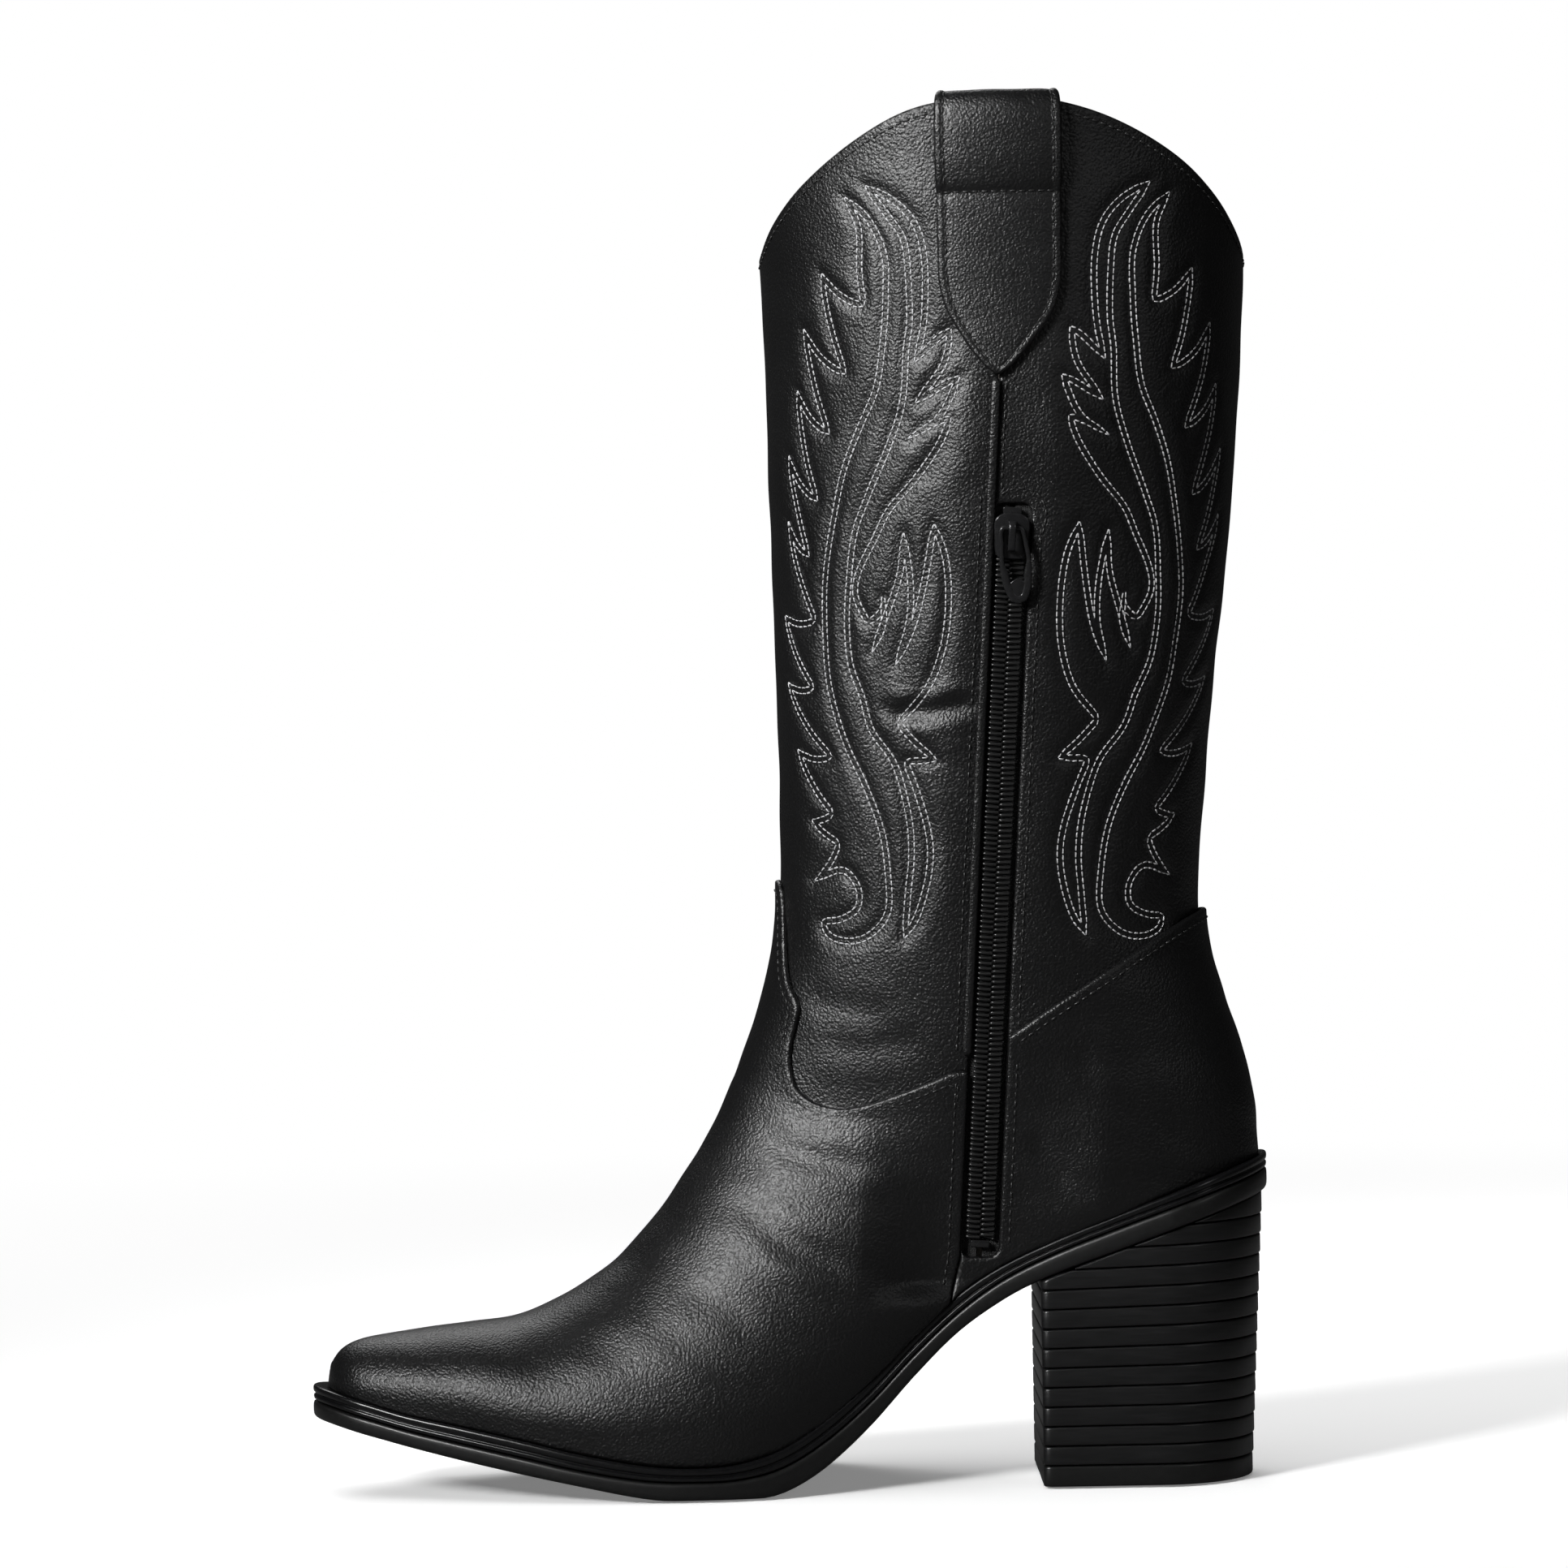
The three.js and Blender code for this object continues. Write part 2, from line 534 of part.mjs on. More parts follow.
const slot = prism(
  [
    [zipX(SLOT_BOTTOM_Z) - SLOT_HALF, SLOT_BOTTOM_Z],
    [zipX(SLOT_BOTTOM_Z) + SLOT_HALF - 2.6, SLOT_BOTTOM_Z + 0.6],
    [zipX(SLOT_BOTTOM_Z + 4) + SLOT_HALF, SLOT_BOTTOM_Z + 4],
    [zipX(SLOT_TOP_Z - 4) + SLOT_HALF, SLOT_TOP_Z - 4],
    [zipX(SLOT_TOP_Z) + SLOT_HALF - 3, SLOT_TOP_Z],
    [zipX(SLOT_TOP_Z) - SLOT_HALF, SLOT_TOP_Z],
  ],
  -HALF_SPACE,
  0,
);
const stripOutline = (x0, x1, z0, z1, y0 = -HALF_SPACE, y1 = 0) =>
  prism([[zipX(z0) + x0, z0], [zipX(z0) + x1, z0], [zipX(z1) + x1, z1], [zipX(z1) + x0, z1]], y0, y1);
const liningSlot = stripOutline(-TAPE_HALF - GAP, TAPE_HALF + GAP, 60, 273);

// ---------------------------------------------------------------- the upper
const layer = ([low, high]) => inside(high).subtract(inside(low)).intersect(aboveWelt);
const footLayer = layer(FOOT_LEATHER);
const shaftLayer = layer(SHAFT_LEATHER).intersect(belowTopline);
const liningLayer = layer(LINING).intersect(belowTopline).subtract(liningSlot);

const TOE_PUFF_X = -178;
const STIFFENER_OUTLINE = [[-27, 0], [-27, 96], [-14, 112], [4, 124], [22, 131], [FAR, 134], [FAR, 0]];
const backingOutline = prism([
  [TOE_PUFF_X + GAP, 0],
  [-57.5, 0],
  [-54, 52],
  ...seamLine(64, 115 - PANEL_LAP - 2, -GAP / 2),
  [-76, 105 - PANEL_LAP - GAP],
  [-88, 105 - PANEL_LAP - GAP],
  [-97, 110 - PANEL_LAP - GAP],
  [TOE_PUFF_X + GAP, 112],
]);
const LINING_SPLIT = [[-280, 112], [-97, 98], [-58, 96], [-27, 100], [10, 118], [FAR, 130]];
const liningAbove = prism([...LINING_SPLIT.map(([x, z]) => [x, z + GAP]), [FAR, SKY], [-280, SKY]]);
const liningBelow = prism([...LINING_SPLIT, [FAR, 0], [-280, 0]]);
const aheadOfSeam = (shift) => prism([[-280, 0], [-57.5 + shift, 0], [-54 + shift, 52], ...seamLine(64, SKY, shift), [-280, SKY]]);

const STRAP_TOP_Z = 379.8;

function strap(side) {
  const y = side === MEDIAL ? [-HALF_SPACE, 0] : [0, HALF_SPACE];
  const middle = -36.4;
  const half = 16.4;
  const shield = prism(
    [
      ...curveThrough([[middle - half, 330], [middle - half + 2.4, 320], [middle - 8.6, 311], [middle - 2.6, 303]], 6),
      ...curveThrough([[middle - 0.4, 303.4], [middle + 8, 311.4], [middle + half - 2.2, 319.6], [middle + half, 330]], 6),
      [middle + half, 381],
      [middle - half, 381],
    ],
    ...y,
  );
  const innerTab = box(middle - half, middle + half, ...y, 352, STRAP_TOP_Z);
  const loopTop = box(middle - half, middle + half, ...y, STRAP_TOP_Z - 1.6, STRAP_TOP_Z);
  const rise = box(-HALF_SPACE * 2, HALF_SPACE, -HALF_SPACE, HALF_SPACE, 300, STRAP_TOP_Z);
  const outer = layer(STRAP_OUTER).intersect(shield);
  const inner = layer(STRAP_INNER).intersect(innerTab);
  const top = layer([STRAP_INNER[0], STRAP_OUTER[1]]).intersect(loopTop);
  return mainBody(outer.add(inner).add(top).intersect(rise));
}

const pastSeam = (side, z0, z1, x0, x1) => {
  const y = side === MEDIAL ? [-HALF_SPACE, 0] : [0, HALF_SPACE];
  return prism([...seamLine(z0, z1, x1), ...seamLine(z1, z0, x0)], ...y);
};
const zipTape = (x0, x1) => mainBody(layer(ZIP_TAPE).intersect(stripOutline(x0, x1, 60.6, 272.4)));

const UPPER = [
  ["vamp", mainBody(footLayer.intersect(vampOutline).subtract(slot)), LEATHER],
  ["heel_counter", mainBody(footLayer.intersect(counterOutline).subtract(slot)), LEATHER],
  ["shaft_front_panel", mainBody(shaftLayer.intersect(frontPanelOutline).subtract(slot)), LEATHER],
  ["shaft_back_panel", mainBody(shaftLayer.intersect(backPanelOutline).subtract(slot)), LEATHER],
  ["side_welt_medial", mainBody(layer(SIDE_WELT).intersect(pastSeam(MEDIAL, 119, 299, -2.3, -0.1))), LEATHER],
  ["side_welt_lateral", mainBody(layer(SIDE_WELT).intersect(pastSeam(LATERAL, 125.5, 299, -1.2, 1.2))), LEATHER],
  ["pull_strap_medial", strap(MEDIAL), LEATHER],
  ["pull_strap_lateral", strap(LATERAL), LEATHER],
  ["shaft_lining_front", mainBody(liningLayer.intersect(liningAbove).intersect(aheadOfSeam(-GAP / 2))), LINING_CLOTH],
  ["shaft_lining_back", mainBody(liningLayer.intersect(liningAbove).subtract(aheadOfSeam(GAP / 2))), LINING_CLOTH],
  ["vamp_lining", mainBody(liningLayer.intersect(liningBelow).intersect(aheadOfSeam(-GAP / 2))), LINING_CLOTH],
  ["heel_lining", mainBody(liningLayer.intersect(liningBelow).subtract(aheadOfSeam(GAP / 2))), LINING_CLOTH],
  ["toe_puff", mainBody(shaftLayer.intersect(box(-280, TOE_PUFF_X, -HALF_SPACE, HALF_SPACE, 0, 90))), STIFFENER],
  ["vamp_backing", mainBody(shaftLayer.intersect(backingOutline).subtract(slot)), LINING_CLOTH],
  ["heel_stiffener", mainBody(shaftLayer.intersect(prism(STIFFENER_OUTLINE))), STIFFENER],
  ["zip_tape_front", zipTape(-TAPE_HALF, -TAPE_SPLIT), TAPE_CLOTH],
  ["zip_tape_back", zipTape(TAPE_SPLIT, TAPE_HALF), TAPE_CLOTH],
  ["zip_guard", mainBody(layer(ZIP_GUARD).intersect(stripOutline(-16, 16, 66, 290))), LINING_CLOTH],
];

// ---------------------------------------------------------------- the sole
const above = (curve, rise) => (x) => curve(x) + rise;
const weltRing = planSlab(0, above(outsoleTop, GAP), weltTop).subtract(
  planSlab(WELT_WIDTH, above(outsoleTop, -9), above(weltTop, 9)),
);
const outsolePins = [
  rod(0, 0, 40, 100, SCREW_RADIUS + GAP),
  ...NAILS.map(([x, y]) => rod(x, y, 40, 100, NAIL_RADIUS + GAP)),
].reduce((all, one) => all.add(one));
const insoleLow = above(weltTop, GAP);
const insoleHigh = above(weltTop, GAP + INSOLE_THICK);
const shankLow = (x) => outsoleTop(x) + 0.8;

const SOLE = [
  ["outsole", planSlab(0, treadHeight, outsoleTop).subtract(outsolePins), RUBBER],
  ["welt", mainBody(weltRing), RUBBER],
  [
    "cork_filler",
    planSlab(WELT_WIDTH + 2 * GAP, above(outsoleTop, GAP), above(weltTop, -GAP)).intersect(
      box(-280, FILLER_END_X, -HALF_SPACE, HALF_SPACE, 0, 90),
    ),
    CORK,
  ],
  [
    "steel_shank",
    slab(stations(...SHANK_X), shankLow, above(shankLow, SHANK_THICK), straightEdges(SHANK_HALF)),
    STEEL,
  ],
  ["insole_board", planSlab(INSOLE_INSET, insoleLow, insoleHigh), BOARD],
  [
    "sock_lining",
    planSlab(INSOLE_INSET + 0.3, above(insoleHigh, 1.3), above(insoleHigh, 1.3 + SOCK_THICK)),
    LINING_CLOTH,
  ],
];

// Headed fastener standing along z; the head clears the sloping sole under it.
function fastener(x, y, tip, radius, head) {
  const headZ = outsoleTop(x) + SEAT_SLOPE * head + 0.2;
  return rod(x, y, tip, headZ, radius).add(rod(x, y, headZ - 0.02, headZ + 0.7, head));
}

// ---------------------------------------------------------------- the heel
const planeZ = (front, back) => (x) => front + ((back - front) * (x - HEEL_BREAST_X)) / (HEEL_BACK_X - HEEL_BREAST_X);
const liftLine = (i) => planeZ(TOP_PIECE + LIFT_FRONT * i, TOP_PIECE + LIFT_BACK * i);

// The heel's D-shaped outline at a height.
function heelOutline(height) {
  const half = HEEL_HALF + HEEL_SIDE_FLARE * height;
  const back = HEEL_BACK_X + HEEL_FLARE * height;
  const points = [[HEEL_BREAST_X, -half + 2.5], [HEEL_BREAST_X + 1.2, -half]];
  for (let i = 0; i <= HEEL_ARC_STEPS; i += 1) {
    const angle = -Math.PI / 2 + (Math.PI * i) / HEEL_ARC_STEPS;
    points.push([HEEL_ROUND_START + (back - HEEL_ROUND_START) * Math.cos(angle), half * Math.sin(angle)]);
  }
  return [...points, [HEEL_BREAST_X + 1.2, half], [HEEL_BREAST_X, half - 2.5]];
}

function heelSlice(lowLine, highLine) {
  const ring = (line) => heelOutline(line(0)).map(([x, y]) => new THREE.Vector3(x, y, line(x)));
  return loft([ring(lowLine), ring(highLine)]);
}

const ground = () => 0;
const underSole = prism([
  ...stations(-50, HEEL_END_X).map((x) => [x, treadHeight(x) - GAP]).reverse(),
  [-50, -5],
  [HEEL_END_X + 20, -5],
  [HEEL_END_X + 20, treadHeight(HEEL_END_X) - GAP],
]);
const SCREW_TIP = 16;
const NAIL_TIP = 36;
const heelPins = [
  rod(0, 0, SCREW_TIP - 1, 110, SCREW_RADIUS + GAP),
  ...NAILS.map(([x, y]) => rod(x, y, NAIL_TIP - 1, 110, NAIL_RADIUS + GAP)),
].reduce((all, one) => all.add(one));

const HEEL = [["heel_top_piece", heelSlice(ground, above(liftLine(0), -GAP)), RUBBER]];
for (let i = 0; i < LIFTS; i += 1) {
  const topmost = i === LIFTS - 1;
  const slice = heelSlice(liftLine(i), topmost ? liftLine(i + 2) : above(liftLine(i + 1), -GAP));
  const name = `heel_lift_${String(i + 1).padStart(2, "0")}`;
  HEEL.push([name, mainBody(slice.intersect(underSole).subtract(heelPins)), STACK]);
}
HEEL.push(["heel_screw", fastener(0, 0, SCREW_TIP, SCREW_RADIUS, 4.2), STEEL]);
NAILS.forEach(([x, y], i) => {
  HEEL.push([`heel_nail_${i + 1}`, fastener(x, y, NAIL_TIP, NAIL_RADIUS, 2.2), STEEL]);
});

// ---------------------------------------------------------------- the zip's hard parts
const zipFrame = new THREE.Group();
const zipUp = new THREE.Vector3(ZIP_TOP.x - ZIP_BOTTOM.x, zipY(ZIP_TOP.z) - zipY(ZIP_BOTTOM.z), ZIP_TOP.z - ZIP_BOTTOM.z);
zipUp.normalize();
const zipAcross = new THREE.Vector3(1, 0, 0).addScaledVector(zipUp, -zipUp.x).normalize();
const zipInward = new THREE.Vector3().crossVectors(zipUp, zipAcross);
zipFrame.quaternion.setFromRotationMatrix(new THREE.Matrix4().makeBasis(zipAcross, zipInward, zipUp));
zipFrame.position.set(ZIP_TOP.x, zipY(ZIP_TOP.z), ZIP_TOP.z);
const downZip = (z) => (z - ZIP_TOP.z) / zipUp.z; // local z of a height on the zip

function zipCoil(side) {
  const [x0, x1] = side < 0 ? [-COIL_HALF, -TAPE_SPLIT] : [TAPE_SPLIT, COIL_HALF];
  return box(x0, x1, -COIL_FACE, COIL_DEPTH - COIL_FACE, downZip(CHAIN_BOTTOM_Z), downZip(CHAIN_TOP_Z));
}

// Slider, about its own middle: two plates joined by a post, flanges at the sides, and a bridge for the pull.
function slider() {
  const half = SLIDER_LENGTH / 2;
  const flangeDepth = 1.5;
  const parts = [
    box(-SLIDER_HALF, SLIDER_HALF, -TOP_PLATE[1], -TOP_PLATE[0], -half, half),
    box(-SLIDER_HALF + 0.4, SLIDER_HALF - 0.4, -BOTTOM_PLATE[1], -BOTTOM_PLATE[0], -half, half),
    box(-POST_WIDTH / 2, POST_WIDTH / 2, -TOP_PLATE[0] - 0.1, -BOTTOM_PLATE[1] + 0.1, 1, half - 0.6),
  ];
  for (const side of [-1, 1]) {
    const edge = side * SLIDER_HALF;
    const inner = edge - side * 0.6;
    parts.push(box(Math.min(edge, inner), Math.max(edge, inner), -TOP_PLATE[0] - 0.1, flangeDepth - TOP_PLATE[0], -half, half));
  }
  const bridgeSide = new THREE.Shape();
  bridgeSide.moveTo(-BRIDGE_HALF_LENGTH, TOP_PLATE[1] - 0.1);
  bridgeSide.lineTo(-BRIDGE_HALF_LENGTH, BRIDGE_TOP - 1.4);
  bridgeSide.quadraticCurveTo(-BRIDGE_HALF_LENGTH, BRIDGE_TOP, -BRIDGE_HALF_LENGTH + 1.4, BRIDGE_TOP);
  bridgeSide.lineTo(BRIDGE_HALF_LENGTH - 1.4, BRIDGE_TOP);
  bridgeSide.quadraticCurveTo(BRIDGE_HALF_LENGTH, BRIDGE_TOP, BRIDGE_HALF_LENGTH, BRIDGE_TOP - 1.4);
  bridgeSide.lineTo(BRIDGE_HALF_LENGTH, TOP_PLATE[1] - 0.1);
  bridgeSide.lineTo(BRIDGE_HALF_LENGTH - BRIDGE_BAR, TOP_PLATE[1] - 0.1);
  bridgeSide.lineTo(BRIDGE_HALF_LENGTH - BRIDGE_BAR, BRIDGE_TOP - BRIDGE_BAR);
  bridgeSide.lineTo(-BRIDGE_HALF_LENGTH + BRIDGE_BAR, BRIDGE_TOP - BRIDGE_BAR);
  bridgeSide.lineTo(-BRIDGE_HALF_LENGTH + BRIDGE_BAR, TOP_PLATE[1] - 0.1);
  const bridge = new THREE.ExtrudeGeometry(bridgeSide, { depth: BRIDGE_WIDTH, bevelEnabled: false, curveSegments: 3 });
  // Drawn as (along the zip, outwards); turned so that outwards is -y and along the zip is z.
  bridge.applyMatrix4(
    new THREE.Matrix4().makeBasis(new THREE.Vector3(0, 0, 1), new THREE.Vector3(0, -1, 0), new THREE.Vector3(1, 0, 0)),
  );
  bridge.translate(-BRIDGE_WIDTH / 2, 0, 0);
  parts.push(solidOf(bridge));
  return parts.reduce((all, one) => all.add(one));
}

// Pull tab, hanging down from its crossbar, whose middle is the local origin.
function pullTab() {
  const outline = new THREE.Shape();
  const top = PULL_THICK / 2;
  outline.moveTo(-2.4, top);
  outline.quadraticCurveTo(-3.2, top, -3.3, -1.5);
  outline.bezierCurveTo(-3.6, -6, -PULL_HALF_WIDTH, -9, -PULL_HALF_WIDTH, -12.5);
  outline.bezierCurveTo(-PULL_HALF_WIDTH, -16, -2.6, -PULL_LENGTH, 0, -PULL_LENGTH);
  outline.bezierCurveTo(2.6, -PULL_LENGTH, PULL_HALF_WIDTH, -16, PULL_HALF_WIDTH, -12.5);
  outline.bezierCurveTo(PULL_HALF_WIDTH, -9, 3.6, -6, 3.3, -1.5);
  outline.quadraticCurveTo(3.2, top, 2.4, top);
  const hole = new THREE.Path();
  hole.moveTo(-1.7, -PULL_THICK / 2);
  hole.lineTo(-2, -8);
  hole.quadraticCurveTo(-1.9, -10.6, 0, -10.8);
  hole.quadraticCurveTo(1.9, -10.6, 2, -8);
  hole.lineTo(1.7, -PULL_THICK / 2);
  outline.holes.push(hole);
  const plate = new THREE.ExtrudeGeometry(outline, { depth: PULL_THICK, bevelEnabled: false, curveSegments: 6 });
  plate.translate(0, 0, -PULL_THICK / 2);
  plate.rotateX(Math.PI / 2);
  return solidOf(plate);
}

// ---------------------------------------------------------------- the boot
const boot = new THREE.Group();
function addPiece(parent, name, solid, look) {
  const mesh = new THREE.Mesh(geometryOf(solid), look);
  mesh.name = name;
  parent.add(mesh);
  return mesh;
}
for (const [name, solid, look] of [...UPPER, ...SOLE, ...HEEL]) addPiece(boot, name, solid, look);

boot.add(zipFrame);
addPiece(zipFrame, "zip_coil_front", zipCoil(-1), COIL);
addPiece(zipFrame, "zip_coil_back", zipCoil(1), COIL);
const stopBlock = (z) => box(-2.6, 2.6, -COIL_FACE, COIL_DEPTH - COIL_FACE, downZip(z) - 1, downZip(z) + 1);
addPiece(zipFrame, "zip_top_stop", stopBlock(CHAIN_TOP_Z + 1.6), GUNMETAL);
addPiece(zipFrame, "zip_bottom_stop", stopBlock(CHAIN_BOTTOM_Z - 1.5), GUNMETAL);

const sliderGroup = new THREE.Group();
sliderGroup.position.z = downZip(SLIDER_Z);
zipFrame.add(sliderGroup);
addPiece(sliderGroup, "zip_slider", slider(), GUNMETAL);
const pull = addPiece(sliderGroup, "zip_pull", pullTab(), GUNMETAL);
pull.position.set(0, -PULL_AXIS_OUT, PULL_AXIS_UP);

export default boot;
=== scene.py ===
# A right-foot western boot around its CAD frame: fine leather, stitching, moulded sole, heel stack and zip.
# Metres in Blender; the dimensions below are in millimetres and are scaled by MM when a mesh is made.
import math

import bpy
import numpy as np
from mathutils import Matrix, Vector, kdtree


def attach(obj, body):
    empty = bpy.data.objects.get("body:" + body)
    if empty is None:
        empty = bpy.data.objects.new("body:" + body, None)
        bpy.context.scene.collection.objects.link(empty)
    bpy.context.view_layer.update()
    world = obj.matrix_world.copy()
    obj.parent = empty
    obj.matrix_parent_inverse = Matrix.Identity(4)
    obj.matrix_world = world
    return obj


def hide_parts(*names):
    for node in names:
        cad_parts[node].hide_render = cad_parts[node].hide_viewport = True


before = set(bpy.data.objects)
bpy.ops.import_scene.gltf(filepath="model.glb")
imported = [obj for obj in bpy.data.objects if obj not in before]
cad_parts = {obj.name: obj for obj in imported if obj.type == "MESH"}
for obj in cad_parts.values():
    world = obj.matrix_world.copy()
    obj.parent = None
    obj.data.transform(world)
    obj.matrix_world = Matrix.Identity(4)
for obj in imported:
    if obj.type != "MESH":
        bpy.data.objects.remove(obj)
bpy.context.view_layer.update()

MM = 0.001
MEDIAL, LATERAL = -1, 1
RNG = np.random.default_rng(7)

# ---- dimensions shared with the CAD, mm
GAP = 0.3
FOOT_LEATHER, SHAFT_LEATHER, LINING = (0.35, 1.7), (-1.5, 0.0), (-2.8, -1.8)
ZIP_TAPE, ZIP_GUARD = (-2.4, -1.8), (-5.6, -4.9)
TOE_X, HEEL_END_X = -230.7, 35.8
TOE_ROUND, HEEL_ROUND = 17.0, 30.0
BASE_INSET, TOE_INSET_SHARE, HEEL_INSET_SHARE = 5.2, 1.17, 0.79
SEAT_DROP = 6.0
HEEL_CORNER = 11
SOLE_HALF = np.array([
    [-231, 15], [-215, 18.5], [-200, 24.2], [-180, 31], [-160, 37], [-140, 41], [-125, 42.5], [-110, 42],
    [-95, 38.8], [-80, 34.4], [-65, 30.6], [-50, 28.6], [-35, 28.4], [-20, 29.4], [-5, 30.4],
    [10, 31], [36, 31]])
SOLE_CENTRE = np.array([
    [-231, -5], [-200, -4.6], [-180, -3.8], [-160, -2.5], [-140, -1], [-125, 0], [-110, 1], [-95, 2.2],
    [-80, 2.7], [-65, 2.4], [-50, 1.6], [-35, 1], [-20, 0.5], [-5, 0.2], [10, 0], [36, 0]])
# x, the welt's top, the outsole's top
SOLE_EDGE = np.array([
    [-231, 29.6, 25.2], [-225, 28.4, 24], [-216, 26, 21.7], [-204, 22.8, 18.6], [-189, 19.9, 15.4],
    [-172, 16.4, 11.8], [-155, 12.5, 8.1], [-138, 9.5, 5.4], [-125, 8.6, 4.8], [-112, 9.5, 5.2],
    [-100, 13.2, 8],
    [-88, 20.6, 14.8], [-76, 30.6, 24.6], [-64, 42.4, 36.8], [-52, 52.8, 47.8], [-40, 60.6, 56.4],
    [-26, 67.2, 63.4], [-10, 73.6, 69.7], [8, 80.3, 76.2], [22, 85.2, 80.9], [36, 89.6, 85.2]])
WELT_TOP, OUTSOLE_TOP = SOLE_EDGE[:, :2], SOLE_EDGE[:, [0, 2]]
TREAD = np.array([
    [-231, 20.6], [-225, 19.4], [-216, 17.2], [-204, 14.3], [-189, 10.9], [-172, 7.3], [-155, 3.9], [-143, 1.5],
    [-136, 0.4], [-131, 0], [-106, 0], [-98, 2], [-88, 7.8], [-76, 18.2], [-64, 31], [-52, 42.6], [-40, 51],
    [-31, 55.8], [-20, 60.2], [-6, 65.3], [8, 70.4], [22, 75.2], [36, 79.6]])
# front x, front z, back x, back z (set by the welt from the heel's corner on), medial and lateral half-widths,
# widest place, squareness, ridge
SECTIONS = np.array([
    [-102.3, 400, 35.8, 400, 54, 54, 0.5, 2, 0],
    [-101.1, 340, 34.1, 340, 52.4, 52.4, 0.5, 2, 0],
    [-100, 300, 32, 300, 50.4, 50.4, 0.5, 2, 0],
    [-99.2, 250, 27, 250, 47.4, 47.4, 0.5, 2, 0],
    [-98.5, 205, 21.3, 205, 42.5, 43, 0.5, 2, 0],
    [-98.1, 170, 18.4, 170, 38.7, 39.5, 0.5, 2, 0],
    [-99.2, 150, 19.3, 148.5, 36.6, 37.5, 0.5, 2, 0],
    [-102.8, 134.5, 23.5, 133, 35, 36, 0.5, 2.1, 0],
    [-106.6, 122.5, 28.4, 118.5, 33.6, 35, 0.51, 2.1, 0],
    [-109, 116, 31.3, 106, 32.8, 34.5, 0.52, 2.2, -0.2],
    [-110.4, 112.4, 31.9, 96, 32.4, 34, 0.53, 2.2, -0.3],
    [-111.5, 110, 31.7, 0, 32.2, 33.8, 0.54, 2.2, -0.4],
    [-112.8, 107, 28, 0, 32.08, 33.8, 0.5475, 2.25, -0.47],
    [-114.8, 102.8, 18, 0, 32, 34, 0.56, 2.27, -0.6],
    [-117.8, 97, 3, 0, 32, 34.5, 0.57, 2.37, -0.8],
    [-121.6, 90.6, -16, 0, 32, 35, 0.58, 2.4, -1],
    [-126.6, 83.2, -38, 0, 32.6, 36, 0.6, 2.5, -1.2],
    [-133, 74.2, -61, 0, 34.4, 37.5, 0.63, 2.5, -1.5],
    [-141, 65, -84, 0, 37, 39, 0.66, 2.4, -1.8],
    [-149.6, 57.7, -106, 0, 39, 40, 0.68, 2.3, -2.2],
    [-161, 50.9, -128, 0, 38.6, 38.8, 0.68, 2.2, -2.6],
    [-174, 45.6, -150, 0, 36.2, 34.2, 0.66, 2.2, -3.2],
    [-187, 44, -171, 0, 32.6, 28, 0.64, 2.2, -3.8],
    [-199, 42.5, -191, 0, 27.4, 21, 0.62, 2.2, -4.4],
    [-209.5, 41.2, -206.5, 0, 22.4, 14, 0.6, 2.2, -4.8],
    [-217, 39.7, -216.8, 0, 18.2, 8.6, 0.58, 2.2, -5],
    [-221.6, 37.5, -222.2, 0, 13.4, 3.4, 0.56, 2.2, -5],
    [-224.3, 33.8, -224.3, 0, 8, -2, 0.54, 2.2, -5]])
FRONT_X, FRONT_Z, BACK_X, BACK_Z, HALF_MEDIAL, HALF_LATERAL, WIDEST, SQUARE, RIDGE = range(9)
LAST_RING = len(SECTIONS) - 1

ZIP_TOP, ZIP_BOTTOM = (-34.3, 262.0), (-45.7, 62.0)
ZIP_TOP_Y, ZIP_LEAN = -48.6, 0.113
ZIP_FLAT, ZIP_BLEND, ZIP_BLEND_RADIUS = 8.0, 34.0, 60.0
SLOT_HALF, SLOT_TOP_Z, SLOT_BOTTOM_Z = 5.2, 268.4, 63.5
TAPE_HALF, TAPE_SPLIT = 13.0, 0.75
CHAIN_TOP_Z, CHAIN_BOTTOM_Z = 264.9, 68.5


# ---- curves
def smooth(share):
    s = np.clip(share, 0, 1)
    return s * s * (3 - 2 * s)


def table(*columns):
    return np.stack(columns, 1)


def unit(v):
    return v / np.maximum(np.linalg.norm(v, axis=-1, keepdims=True), 1e-9)


def gaps(line):
    return np.linalg.norm(np.diff(line, axis=0), axis=1)


def totals(steps):
    return np.concatenate([[0], np.cumsum(steps)])


def along(points, x):
    """Smooth value through (x, value) points, at every x."""
    xs, vs = np.asarray(points, float).T
    slopes = np.empty(len(xs))
    slopes[1:-1] = (vs[2:] - vs[:-2]) / (xs[2:] - xs[:-2])
    slopes[0] = (vs[1] - vs[0]) / (xs[1] - xs[0])
    slopes[-1] = (vs[-1] - vs[-2]) / (xs[-1] - xs[-2])
    here = np.clip(x, xs[0], xs[-1])
    i = np.clip(np.searchsorted(xs, here, side="right") - 1, 0, len(xs) - 2)
    width = xs[i + 1] - xs[i]
    s = (here - xs[i]) / width
    s2, s3 = s * s, s * s * s
    return ((2 * s3 - 3 * s2 + 1) * vs[i] + (s3 - 2 * s2 + s) * width * slopes[i]
            + (3 * s2 - 2 * s3) * vs[i + 1] + (s3 - s2) * width * slopes[i + 1])


def between_points(a, b, c, d, s):
    """The smooth curve from b to c, whose neighbours are a and d."""
    return b + 0.5 * s * (c - a + s * (2 * a - 5 * b + 4 * c - d + s * (3 * (b - c) + d - a)))


